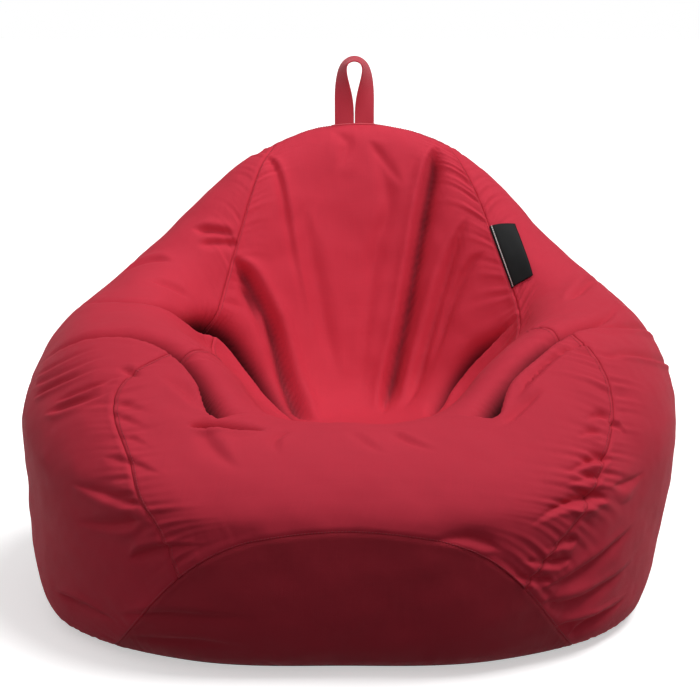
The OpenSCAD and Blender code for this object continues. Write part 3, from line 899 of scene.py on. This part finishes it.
class BagSizes(bpy.types.PropertyGroup):
    """Sizes of the cloth's detail."""

    cell: bpy.props.FloatProperty(
        name="Cell", description="Size of a cell of the cover's panels",
        default=0.0034, min=0.003, max=0.02, subtype="DISTANCE", unit="LENGTH")
    liner_depth: bpy.props.FloatProperty(
        name="Liner depth", description="How deep the liner lies below the cover",
        default=0.0075, min=0.006, max=0.02, subtype="DISTANCE", unit="LENGTH")
    bead_depth: bpy.props.FloatProperty(
        name="Bead depth", description="How deep the beads lie below the cover",
        default=0.0115, min=0.008, max=0.03, subtype="DISTANCE", unit="LENGTH")
    camera_distance: bpy.props.FloatProperty(
        name="Camera distance", description="From the camera to the middle of the bag",
        default=2.5, min=1.5, max=6, subtype="DISTANCE", unit="LENGTH")
    camera_rise: bpy.props.FloatProperty(
        name="Camera rise", description="The camera's angle above the horizon",
        default=math.radians(11.7), min=0, max=1.2, subtype="ANGLE", unit="ROTATION")


def colour_property(name, description, default):
    """A colour that a user can change."""
    return bpy.props.FloatVectorProperty(
        name=name, description=description, default=default, min=0, max=1, size=3,
        subtype="COLOR")


class BagColours(bpy.types.PropertyGroup):
    """Colours of the bag's finishes, as linear values."""

    cover: colour_property("Cover", "Polyester cloth of the cover", (0.62, 0.033, 0.062))
    # The low front panel is the cover's cloth in a darker red: painted shade on the lower front.
    front: colour_property("Front panel", "Cloth of the low front panel", (0.42, 0.022, 0.040))
    stitch: colour_property("Stitching", "Thread of the cover's seams", (0.50, 0.035, 0.06))
    base: colour_property("Base", "Coated cloth under the bag", (0.05, 0.012, 0.016))
    webbing: colour_property("Webbing", "Webbing of the handle", (0.62, 0.036, 0.064))
    label: colour_property("Label", "Satin of the side label", (0.006, 0.0065, 0.007))
    thread: colour_property("Thread", "Thread along the side label", (0.75, 0.75, 0.73))
    care: colour_property("Care label", "Satin of the care label", (0.78, 0.78, 0.76))
    tape: colour_property("Zip tape", "Woven tapes of the zip", (0.40, 0.025, 0.045))
    teeth: colour_property("Zip teeth", "Moulded teeth of the zip", (0.33, 0.022, 0.038))
    metal: colour_property("Metal", "Nickel of the slider and stops", (0.62, 0.61, 0.59))
    liner: colour_property("Liner", "Cloth of the liner", (0.80, 0.80, 0.78))
    beads: colour_property("Beads", "Foam beads of the filling", (0.88, 0.88, 0.88))
    floor: colour_property("Floor", "Paper of the studio floor", (0.93, 0.93, 0.93))


def sizes():
    """The sizes that a user has set."""
    return bpy.context.scene.bag_sizes


def colour_of(name):
    """One of the colours that a user has set."""
    return tuple(getattr(bpy.context.scene.bag_colours, name))


def dress(piece, finish):
    """Gives a piece one finish all over."""
    piece.data.materials.clear()
    piece.data.materials.append(finish)


def put(piece, finish, body, slot, *nodes):
    """Gives a piece its finish, its body and the CAD nodes that it stands for."""
    dress(piece, finish)
    if body is not None:
        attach(piece, body)
    if nodes:
        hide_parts(*nodes)
    return piece


def cells(length):
    """An even number of cells along a panel of this length."""
    return max(8, 2 * round(length / sizes().cell / 2))


# ---- The cover ----


# The cover's weave: its threads' pitch and depth, and how much painted shade darkens its deepest
# folds
COVER_WEAVE = {"pitch": 0.0011, "depth": 0.00035, "hollow": 0.9}


class BAG_OT_cover(bpy.types.Operator):
    """Sews the cover's six standing panels"""

    bl_idname = "bag.cover"
    bl_label = "Cover"

    def execute(self, context):
        cloth = woven("polyester", colour_of("cover"), **COVER_WEAVE)
        # A darker copy of the cover's cloth for the low front panel: painted shade.
        painted_shade_cloth = woven("polyester_low", colour_of("front"), **COVER_WEAVE)
        # Cells along and across the panels, for their rough lengths and widths
        long, wide = cells(1.25), cells(0.47)
        rear_long, rear_wide = cells(0.66), cells(0.26)
        right, left = Edge(gather=1.5, seed=11), Edge(gather=0.9, seed=12)
        right_in, left_in = Edge(gather=1.9, reach=18, seed=13), Edge(gather=1.0, seed=14)
        arched = Edge(dip=1.1, gather=0.3, seed=15)
        low = Edge(dip=1.2, gather=0.5, seed=16)
        plain = Edge(dip=1.5, gather=0.5, seed=17)
        panels = (
            ("seat_back_panel",
             (left_seam, right_seam, arch_between(-LEFT_FRONT_A, RIGHT_FRONT_A),
              polar(-LEFT_BACK_A, CREST_T, RIGHT_BACK_A - 360, CREST_T)),
             wide, long, (left_in, right_in, arched, plain), cloth,
             ("left", "right", "front", "back")),
            ("side_panel_right",
             (right_seam, polar(ARCH_A, FOOT_T, REAR_FOOT_A, FOOT_T),
              arch_between(RIGHT_FRONT_A, ARCH_A),
              polar(RIGHT_BACK_A, CREST_T, REAR_FOOT_A, FOOT_T)),
             wide, long, (right, low, arched, plain), cloth, ("front", "back")),
            ("side_panel_left",
             (polar(-ARCH_A, FOOT_T, -REAR_FOOT_A, FOOT_T), left_seam,
              arch_between(-ARCH_A, -LEFT_FRONT_A),
              polar(-REAR_FOOT_A, FOOT_T, -LEFT_BACK_A, CREST_T)),
             wide, long, (low, left, arched, plain), cloth, ("front", "back")),
            ("front_base_panel",
             (polar(-ARCH_A, FOOT_T, -ARCH_A, FOOT_T), polar(ARCH_A, FOOT_T, ARCH_A, FOOT_T),
              polar(-ARCH_A, FOOT_T, ARCH_A, FOOT_T), arch_between(-ARCH_A, ARCH_A)),
             cells(0.62), cells(0.2), (None, None, low, arched), painted_shade_cloth, ()),
            ("rear_panel_right",
             (polar(180, CREST_T, 180, FOOT_T), polar(RIGHT_BACK_A, CREST_T, REAR_FOOT_A, FOOT_T),
              polar(180, CREST_T, RIGHT_BACK_A, CREST_T), polar(180, FOOT_T, REAR_FOOT_A, FOOT_T)),
             rear_wide, rear_long, (plain, plain, plain, low), cloth, ("front",)),
            ("rear_panel_left",
             (polar(-LEFT_BACK_A, CREST_T, -REAR_FOOT_A, FOOT_T),
              polar(-180, CREST_T, -180, FOOT_T), polar(-LEFT_BACK_A, CREST_T, -180, CREST_T),
              polar(-REAR_FOOT_A, FOOT_T, -180, FOOT_T)),
             rear_wide, rear_long, (plain, plain, plain, low), cloth, ("front",)),
        )
        rows = []
        for name, curves, nu, nv, edges, finish, stitched in panels:
            piece, p, n = sewn_panel(name + "_cloth", curves, nu, nv, edges)
            put(piece, finish, "bag", "cover_cloth", name)
            rows += [stitches(*line) for line in stitch_lines(p, n, stitched)]
        thread = np.concatenate(rows)
        piece = mesh_object("top_stitching", thread.reshape(-1, 3), stitch_faces(len(thread)))
        put(piece, twisted("thread", colour_of("stitch")), "bag", "cover_cloth")
        return {"FINISHED"}


# The base's thickness, and how far below the skin the underside of its rim is
BASE_T = 0.0012
BASE_TUCK = 0.0016


class BAG_OT_base(bpy.types.Operator):
    """Lays the flat base panel under the bag"""

    bl_idname = "bag.base"
    bl_label = "Base"

    def execute(self, context):
        around, rings = 240, 24
        angles = np.arange(around) * 360 / around
        rim = skin(disc(angles, np.full(around, FOOT_T)))
        middle = rim.mean(0)
        share = np.linspace(0, 1, rings + 1)[1:, None, None]
        top = middle + (rim - middle)[None] * share
        out = share[..., 0]
        lift = smooth(0.965, 1, out) * (rim[:, 2] - BASE_TUCK)
        wave = lumps(top, 8, 0.12, SEED + 5) * 0.0003 * smooth(1, 0.9, out)
        top[..., 2] = BASE_T + lift + wave
        under = top.copy()
        under[..., 2] = np.maximum(top[..., 2] - BASE_T, 0) * smooth(0.9, 1, out)
        centre = np.array([[*middle[:2], BASE_T], [*middle[:2], 0]])
        points = np.concatenate([top.reshape(-1, 3), under.reshape(-1, 3), centre])
        count = around * rings
        faces = []
        for layer, hub, flip in ((0, 2 * count, False), (count, 2 * count + 1, True)):
            for k in range(around):
                m = (k + 1) % around
                faces.append((hub, layer + m, layer + k) if flip else (hub, layer + k, layer + m))
                for r in range(rings - 1):
                    a, b = layer + r * around + k, layer + r * around + m
                    cell = (a, a + around, b + around, b)
                    faces.append(cell[::-1] if flip else cell)
        last = (rings - 1) * around
        for k in range(around):
            m = (k + 1) % around
            faces.append((last + k, count + last + k, count + last + m, last + m))
        piece = mesh_object("base_cloth", points, faces, points[:, :2])
        cloth = woven("coated_polyester", colour_of("base"), 0.0016, 0.0004,
                      roughness=0.55, sheen=0.05)
        put(piece, cloth, "bag", "base_cloth", "base_panel")
        return {"FINISHED"}


# ---- The liner and its beads ----


# How much wider than the cover's folds the liner's hollows are, how much deeper both inner
# skins lie where the cover is free, and how low they reach
LINER_SPREAD = 3.0
FREE_DEPTH = 0.0025
INNER_LOW = 0.004


def inner_shell(name, depth, around, rings, seed, wrinkle):
    """A closed skin at a depth below the cover and below the cover's folds."""
    angles = np.arange(around) * 360 / around
    t = np.linspace(0, FOOT_T, rings + 1)[1:]
    d = disc(angles[None], t[:, None])
    p, n = skin(d), outward(d)
    deep = fold_offset(p.reshape(-1, 3), n.reshape(-1, 3), LINER_SPREAD)
    deep = np.minimum(deep, 0).reshape(t.size, around)
    offset = deep - depth - (0.5 + 0.5 * lumps(p, 10, 0.05, seed)) * wrinkle
    offset -= FREE_DEPTH * calm(p)
    p = p + n * offset[..., None]
    p[..., 2] = np.maximum(p[..., 2], INNER_LOW)
    top = skin(np.zeros(2) + 1e-4) - np.array([0, 0, depth + 0.003])
    floor = p[-1].mean(0) * [1, 1, 0] + [0, 0, INNER_LOW]
    points = np.concatenate([p.reshape(-1, 3), [top, floor]])
    faces = []
    for k in range(around):
        m = (k + 1) % around
        faces.append((len(points) - 2, m, k))
        for r in range(rings - 1):
            a, b = r * around + k, r * around + m
            faces.append((a, b, b + around, a + around))
        a, b = (rings - 1) * around + k, (rings - 1) * around + m
        faces.append((a, b, len(points) - 1))
    sides = np.radians(angles)[None] * t[:, None] * 0.4
    down = np.broadcast_to(t[:, None] * 1.3, sides.shape)
    cloth = np.concatenate([np.stack([sides, down], -1).reshape(-1, 2), np.zeros((2, 2))])
    return mesh_object(name, points, faces, cloth)


class BAG_OT_liner(bpy.types.Operator):
    """Puts the liner inside the cover"""

    bl_idname = "bag.liner"
    bl_label = "Liner"

    def execute(self, context):
        cloth = woven("liner_cloth", colour_of("liner"), 0.0009, 0.0002, roughness=0.8,
                      sheen=0.05, mottle=0.04, slub=0.03)
        piece = inner_shell("liner_cloth", sizes().liner_depth, 240, 150, SEED + 2, 0.0006)
        put(piece, cloth, "bag", "liner_cloth", "liner_body")
        for node in ("liner_base", "liner_zip"):
            dress(frame["nodes"][node], cloth)
        return {"FINISHED"}


class BAG_OT_filling(bpy.types.Operator):
    """Fills the liner with foam beads"""

    bl_idname = "bag.filling"
    bl_label = "Filling"

    def execute(self, context):
        piece = inner_shell("bead_heap", sizes().bead_depth, 200, 120, SEED + 3, 0.0012)
        put(piece, beaded("foam_beads", colour_of("beads")), "bag", "beads", "bead_fill")
        return {"FINISHED"}


# ---- The handle ----

STRAP_W = 0.031
STRAP_T = 0.0024
LOOP_H = 0.1
LOOP_R = 0.02
LOOP_TWIST = 76
LEG_X = STRAP_W / 2 + 0.0006
LOOP_STEPS = 161
# How far the loop's ends sink into the crest
LOOP_SINK = 0.007
# The bars over the loop's ends: half their width and thickness, how far before and behind
# the crest they lie on the disc, and how far their middles stand out of the cloth
BAR_R = (0.0034, 0.0013)
BAR_STEP = 0.0085
BAR_LIFT = 0.0006
# The middle of the crest, and its radius seen from above
CREST_X = 0.0152
CREST_R = 0.3


def joint(name):
    """One of the frame's joints."""
    return next(j for j in frame["joints"] if j["name"] == name)


def loop_route():
    """The loop's control points, sideways and up from its sewn ends."""
    half = [(-LEG_X, -LOOP_H * 0.3), (-LEG_X, 0), (-LEG_X, LOOP_H * 0.3),
            (-LOOP_R, LOOP_H * 0.62), (-LOOP_R, LOOP_H * 0.93)]
    return np.array(half + [(0, LOOP_H * 1.035)] + [(-x, z) for x, z in half[::-1]])


def spline(points, s):
    """A uniform cubic B-spline with these control points, at shares s of its length."""
    spans = len(points) - 3
    u = s * spans
    i = np.minimum(np.floor(u).astype(int), spans - 1)
    return blend4(points[i], points[i + 1], points[i + 2], points[i + 3], (u - i)[:, None])


def strap_profile():
    """Half-round edges on a flat strap: sideways and thickness, once round."""
    flat = STRAP_W / 2 - STRAP_T / 2
    arc = np.radians(np.linspace(-90, 90, 7))
    right = [(flat + STRAP_T / 2 * math.cos(a), STRAP_T / 2 * math.sin(a)) for a in arc]
    top = [(x, STRAP_T / 2) for x in np.linspace(flat, -flat, 14)[1:-1]]
    left = [(-x, -z) for x, z in right]
    bottom = [(-x, -z) for x, z in top]
    return np.array(right + top + left + bottom)


def swept_strap(name, route, across, thick, profile):
    """A strap along a route, closed at both ends."""
    rings = (route[:, None] + across[:, None] * profile[None, :, :1]
             + thick[:, None] * profile[None, :, 1:])
    n, m = len(route), len(profile)
    run = np.concatenate([[0], np.cumsum(np.linalg.norm(np.diff(route, axis=0), axis=1))])
    side = np.broadcast_to(profile[None, :, 0], (n, m))
    cloth = np.stack([side, np.broadcast_to(run[:, None], (n, m))], -1)
    faces = [(r * m + k, r * m + (k + 1) % m, (r + 1) * m + (k + 1) % m, (r + 1) * m + k)
             for r in range(n - 1) for k in range(m)]
    faces += [tuple(range(m))[::-1], tuple((n - 1) * m + k for k in range(m))]
    return mesh_object(name, rings.reshape(-1, 3), faces, cloth.reshape(-1, 2))


class BAG_OT_handle(bpy.types.Operator):
    """Makes the webbing loop on the crest and the bars that are stitched over its ends"""

    bl_idname = "bag.handle"
    bl_label = "Handle"

    def execute(self, context):
        webbing = ribbed("webbing", colour_of("webbing"), 0.0018)
        foot = np.array(joint("handle_fold")["pos_m"])
        s = np.linspace(0, 1, LOOP_STEPS)
        flat = spline(loop_route(), s)
        sunk = LOOP_SINK * smooth(0.012, 0, flat[:, 1])
        route = foot + np.stack([flat[:, 0], 0 * s, flat[:, 1] - sunk], -1)
        along = unit(np.gradient(route, axis=0))
        away = np.stack([-along[:, 2], 0 * s, along[:, 0]], -1)
        twist = np.radians(LOOP_TWIST * (1 - smooth(0.12, 1, np.abs(2 * s - 1))))[:, None]
        across = away * np.cos(twist) + np.array([0, 1, 0]) * np.sin(twist)
        thick = np.cross(along, across)
        piece = swept_strap("handle_webbing", route, across, thick, strap_profile())
        put(piece, webbing, None, "webbing", "handle_loop")
        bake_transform(piece)
        self.anchor(webbing)
        return {"FINISHED"}

    def anchor(self, webbing):
        """Two folded ridges across the crest, in front of and behind the loop's ends."""
        lo, hi = ANCHOR_BOX
        arc = np.radians(np.linspace(0, 360, 17)[:-1])
        profile = np.stack([np.cos(arc), np.sin(arc)], -1) * BAR_R
        x = np.linspace(lo[0], hi[0], 80)
        angle = 180 - np.degrees(np.arcsin((x - CREST_X) / CREST_R))
        for name, step, nodes in (("front", -BAR_STEP, ["handle_anchor"]), ("rear", BAR_STEP, [])):
            d = disc(angle, CREST_T + step)
            out = outward(d)
            centre = skin(d) + out * BAR_LIFT
            across = unit(np.cross(unit(np.gradient(centre, axis=0)), out))
            piece = swept_strap("handle_bar_" + name, centre, across, out, profile)
            put(piece, webbing, "bag", "webbing", *nodes)


# ---- The labels ----

LABEL_W = 0.038
LABEL_L = 0.104
LABEL_T = 0.0012
CARE_LABEL_T = 0.0005
# About how long the right seam is, and the shares of it where the side label starts and ends
SEAM_L = 1.23
LABEL_FOOT = 0.777
LABEL_HEAD = LABEL_FOOT + LABEL_L / SEAM_L
# Lines stitched on labels: their place across, their width and the pitch of their stitches
LABEL_LINE = (0.0035, 0.0015, 0.0032)
CARE_LINE = (0.003, 0.0006, 0.003)


def across_seam(v):
    """The step on the disc that goes one metre across the right seam, at shares v."""
    step, s = 0.002, right_seam(v)
    p = skin(s)
    x = (skin(s + np.array([step, 0])) - p) / step
    y = (skin(s + np.array([0, step])) - p) / step
    out = unit(np.cross(x, y))
    up = unit(skin(right_seam(v + 0.01)) - skin(right_seam(v - 0.01)))
    side = np.cross(up, out)
    a, b, c = (x * x).sum(-1), (x * y).sum(-1), (y * y).sum(-1)
    f, g = (x * side).sum(-1), (y * side).sum(-1)
    return np.stack([f * c - g * b, g * a - f * b], -1) / (a * c - b * b)[..., None]


def slab(name, upper, lower, cloth):
    """A thin closed sheet between two grids of points."""
    nu, nv = upper.shape[0] - 1, upper.shape[1] - 1
    first = (nu + 1) * (nv + 1)
    faces = grid_faces(nu, nv)
    rim = rim_of(nu, nv).tolist()
    sides = [(b, a, a + first, b + first) for a, b in zip(rim, rim[1:] + rim[:1])]
    both = faces.tolist() + (faces[:, ::-1] + first).tolist() + sides
    points = np.concatenate([upper.reshape(-1, 3), lower.reshape(-1, 3)])
    return mesh_object(name, points, both, np.concatenate([cloth.reshape(-1, 2)] * 2))


class BAG_OT_labels(bpy.types.Operator):
    """Sews the blank side label and the care label into their seams"""

    bl_idname = "bag.labels"
    bl_label = "Labels"

    def execute(self, context):
        self.side_label()
        self.care_label()
        return {"FINISHED"}

    def side_label(self):
        """The folded side label, along its seam and on the cloth beside it."""
        u, v = np.linspace(0, 1, 25), np.linspace(LABEL_FOOT, LABEL_HEAD, 61)
        step = across_seam(v)
        d = right_seam(v)[None] + step[None] * (u[:, None, None] * LABEL_W)
        p, n = skin(d), outward(d)
        offset = free_offset(p, n)
        away = np.broadcast_to((u * LABEL_W)[:, None], offset.shape)
        lift = 0.0008 + 0.0022 * smooth(0, 0.008, away) + 0.0012 * smooth(0.5, 1, u)[:, None]
        half = LABEL_T / 2 * np.sqrt(np.clip((1 - u) * 26, 0, 1))[:, None]
        upper = p + n * (offset + lift + half)[..., None]
        lower = p + n * (offset + lift - half)[..., None]
        cloth = np.stack([away, np.broadcast_to((v * SEAM_L)[None], away.shape)], -1)
        piece = slab("side_label_satin", upper, lower, cloth)
        finish = satin("label_satin", colour_of("label"), (colour_of("thread"), *LABEL_LINE))
        put(piece, finish, "label", "label_satin", "side_label")

    def care_label(self):
        """The care label, which hangs from the seam under the zip."""
        hinge = joint("care_tag_flap")
        foot, up = np.array(hinge["pos_m"]), -unit(np.array(hinge["axis"]))
        right = unit(np.array(joint("pull_swing")["axis"]))
        out = np.cross(up, right)
        width, length = 0.044, 0.028
        u, v = np.linspace(0, 1, 29), np.linspace(-0.5, 0.5, 19)
        rise = 0.0022 * u**2 + 0.0009 * np.sin(u * 5)
        curl = rise[:, None] + 0.001 * u[:, None] * np.cos(v * 5)[None]
        cloth = np.stack(np.broadcast_arrays((u * width)[:, None], (v * length)[None]), -1)
        middle = foot + up * cloth[..., 1:] - right * cloth[..., :1] + out * curl[..., None]
        half = out * (CARE_LABEL_T / 2)
        piece = slab("care_label_satin", middle - half, middle + half, cloth)
        line = (tint(colour_of("care"), 0.75), *CARE_LINE)
        finish = satin("care_satin", colour_of("care"), line)
        put(piece, finish, "care_tag", "care_satin", "care_label")


# ---- The zip ----


class BAG_OT_zip(bpy.types.Operator):
    """Gives the zip's tapes, teeth, stops, slider and pull their finishes"""

    bl_idname = "bag.zip"
    bl_label = "Zip"

    def execute(self, context):
        tape = ribbed("zip_tape", colour_of("tape"), 0.0012)
        teeth = moulded("zip_teeth", colour_of("teeth"))
        metal = plated("zip_metal", colour_of("metal"))
        finishes = {"zip_teeth_left": teeth, "zip_teeth_right": teeth, "zip_top_stop": metal,
                    "zip_bottom_stop": metal, "zip_slider": metal, "zip_pull": metal,
                    "zip_tape_left": tape, "zip_tape_right": tape}
        for node, finish in finishes.items():
            dress(frame["nodes"][node], finish)
        return {"FINISHED"}


# ---- The stage ----


# The camera's target, focal length in mm and shift
TARGET = (0, 0, 0.3)
LENS = 86.9
SENSOR_W = 36
SHIFT_UP = 0.047
# How bright the sky is from straight below, at 0, over the horizon, at 0.5, to overhead
SKY = ((0.0, 0.02), (0.45, 0.03), (0.488, 0.03), (0.49, 1.0), (0.545, 1.0),
       (0.56, 0.12), (0.75, 0.2), (1.0, 0.3))
FLOOR_REACH = 200
FLOOR_DROP = 0.0005
# A far lamp's name, the way to it, its strength and its width in degrees
FAR_LAMPS = (("key", (0.42, -0.1, 1.0), 1.7, 24), ("top", (-0.1, -0.1, 1.0), 0.4, 80))
# The backrest's lamp: its place, its target, its power in watts, cone in degrees and radius
SPOT_PLACE = (0.3, -1.9, 1.7)
SPOT_TARGET = (0.0, 0.25, 0.6)
SPOT_POWER = 100
SPOT_CONE = 27
SPOT_R = 0.25


class BAG_OT_stage(bpy.types.Operator):
    """Sets the camera, the pale floor and the soft studio light"""

    bl_idname = "bag.stage"
    bl_label = "Stage"

    def execute(self, context):
        self.camera()
        self.floor()
        self.sky()
        for name, towards, strength, width in FAR_LAMPS:
            data = bpy.data.lights.new(name, "SUN")
            data.energy = strength
            data.angle = math.radians(width)
            self.hang(data, towards)
        self.spot()
        return {"FINISHED"}

    def camera(self):
        """The camera, level from side to side and looking down at the bag's front."""
        scene = bpy.context.scene
        data = bpy.data.cameras.new("camera")
        camera = bpy.data.objects.new("camera", data)
        scene.collection.objects.link(camera)
        rise, distance = sizes().camera_rise, sizes().camera_distance
        camera.location = Vector(TARGET) + distance * Vector((0, -math.cos(rise), math.sin(rise)))
        camera.rotation_euler = (math.pi / 2 - rise, 0, 0)
        data.sensor_width = SENSOR_W
        data.lens = LENS
        data.shift_y = SHIFT_UP
        scene.camera = camera

    def floor(self):
        """Pale paper that glows a little and throws no soft light back on the bag."""
        corners = np.array([(-1, -1, 0), (1, -1, 0), (1, 1, 0), (-1, 1, 0)], float)
        floor = mesh_object("floor", corners * FLOOR_REACH, [(0, 1, 2, 3)])
        floor.location.z = -FLOOR_DROP
        floor.data.materials.append(paper("floor_paper", colour_of("floor")))
        floor.visible_diffuse = False

    def sky(self):
        """Soft light from all round, with a white band at the horizon."""
        world = bpy.data.worlds.new("studio")
        world.use_nodes = True
        bpy.context.scene.world = world
        tree = world.node_tree
        nodes = Nodes(tree)
        height = nodes.parts(nodes.node("ShaderNodeTexCoord", output="Generated"))[2]
        share = nodes.node("ShaderNodeMapRange", None, {"From Min": -1, "Value": height})
        stops = [(place, (value,) * 3) for place, value in SKY]
        light = nodes.node("ShaderNodeValToRGB", {"stops": stops}, {0: share})
        tree.links.new(light.socket, tree.nodes["Background"].inputs["Color"])

    def hang(self, data, towards, place=(0, 0, 0)):
        """Hangs a lamp at this place, so that this is the way to it."""
        lamp = bpy.data.objects.new(data.name, data)
        lamp.location = place
        lamp.rotation_euler = Vector(towards).to_track_quat("Z", "Y").to_euler()
        bpy.context.scene.collection.objects.link(lamp)

    def spot(self):
        """A soft lamp in front of and above the bag, on its backrest."""
        data = bpy.data.lights.new("backrest", "SPOT")
        data.energy = SPOT_POWER
        data.spot_size = math.radians(SPOT_CONE)
        data.spot_blend = 1
        data.shadow_soft_size = SPOT_R
        self.hang(data, Vector(SPOT_PLACE) - Vector(SPOT_TARGET), SPOT_PLACE)


class BAG_PT_panel(bpy.types.Panel):
    """Lists the bag's pieces and what can be changed"""

    bl_idname = "BAG_PT_panel"
    bl_label = "Bean Bag"
    bl_space_type = "VIEW_3D"
    bl_region_type = "UI"
    bl_category = "Bean Bag"

    def draw(self, context):
        layout = self.layout
        for group in (context.scene.bag_sizes, context.scene.bag_colours):
            for name in group.bl_rna.properties.keys():
                if name not in ("rna_type", "name"):
                    layout.prop(group, name)
        for operator in OPERATORS:
            layout.operator(operator.bl_idname)


OPERATORS = (BAG_OT_stage, BAG_OT_cover, BAG_OT_base, BAG_OT_liner, BAG_OT_filling,
             BAG_OT_handle, BAG_OT_labels, BAG_OT_zip)
CLASSES = (BagSizes, BagColours, *OPERATORS, BAG_PT_panel)


def register():
    for each in CLASSES:
        bpy.utils.register_class(each)
    bpy.types.Scene.bag_sizes = bpy.props.PointerProperty(type=BagSizes)
    bpy.types.Scene.bag_colours = bpy.props.PointerProperty(type=BagColours)


def unregister():
    del bpy.types.Scene.bag_colours
    del bpy.types.Scene.bag_sizes
    for each in reversed(CLASSES):
        bpy.utils.unregister_class(each)


def main():
    """Makes every piece in order."""
    register()
    bpy.context.scene.view_settings.view_transform = "Standard"
    for operator in OPERATORS:
        group, name = operator.bl_idname.split(".")
        getattr(getattr(bpy.ops, group), name)()


if __name__ == "__main__":
    main()
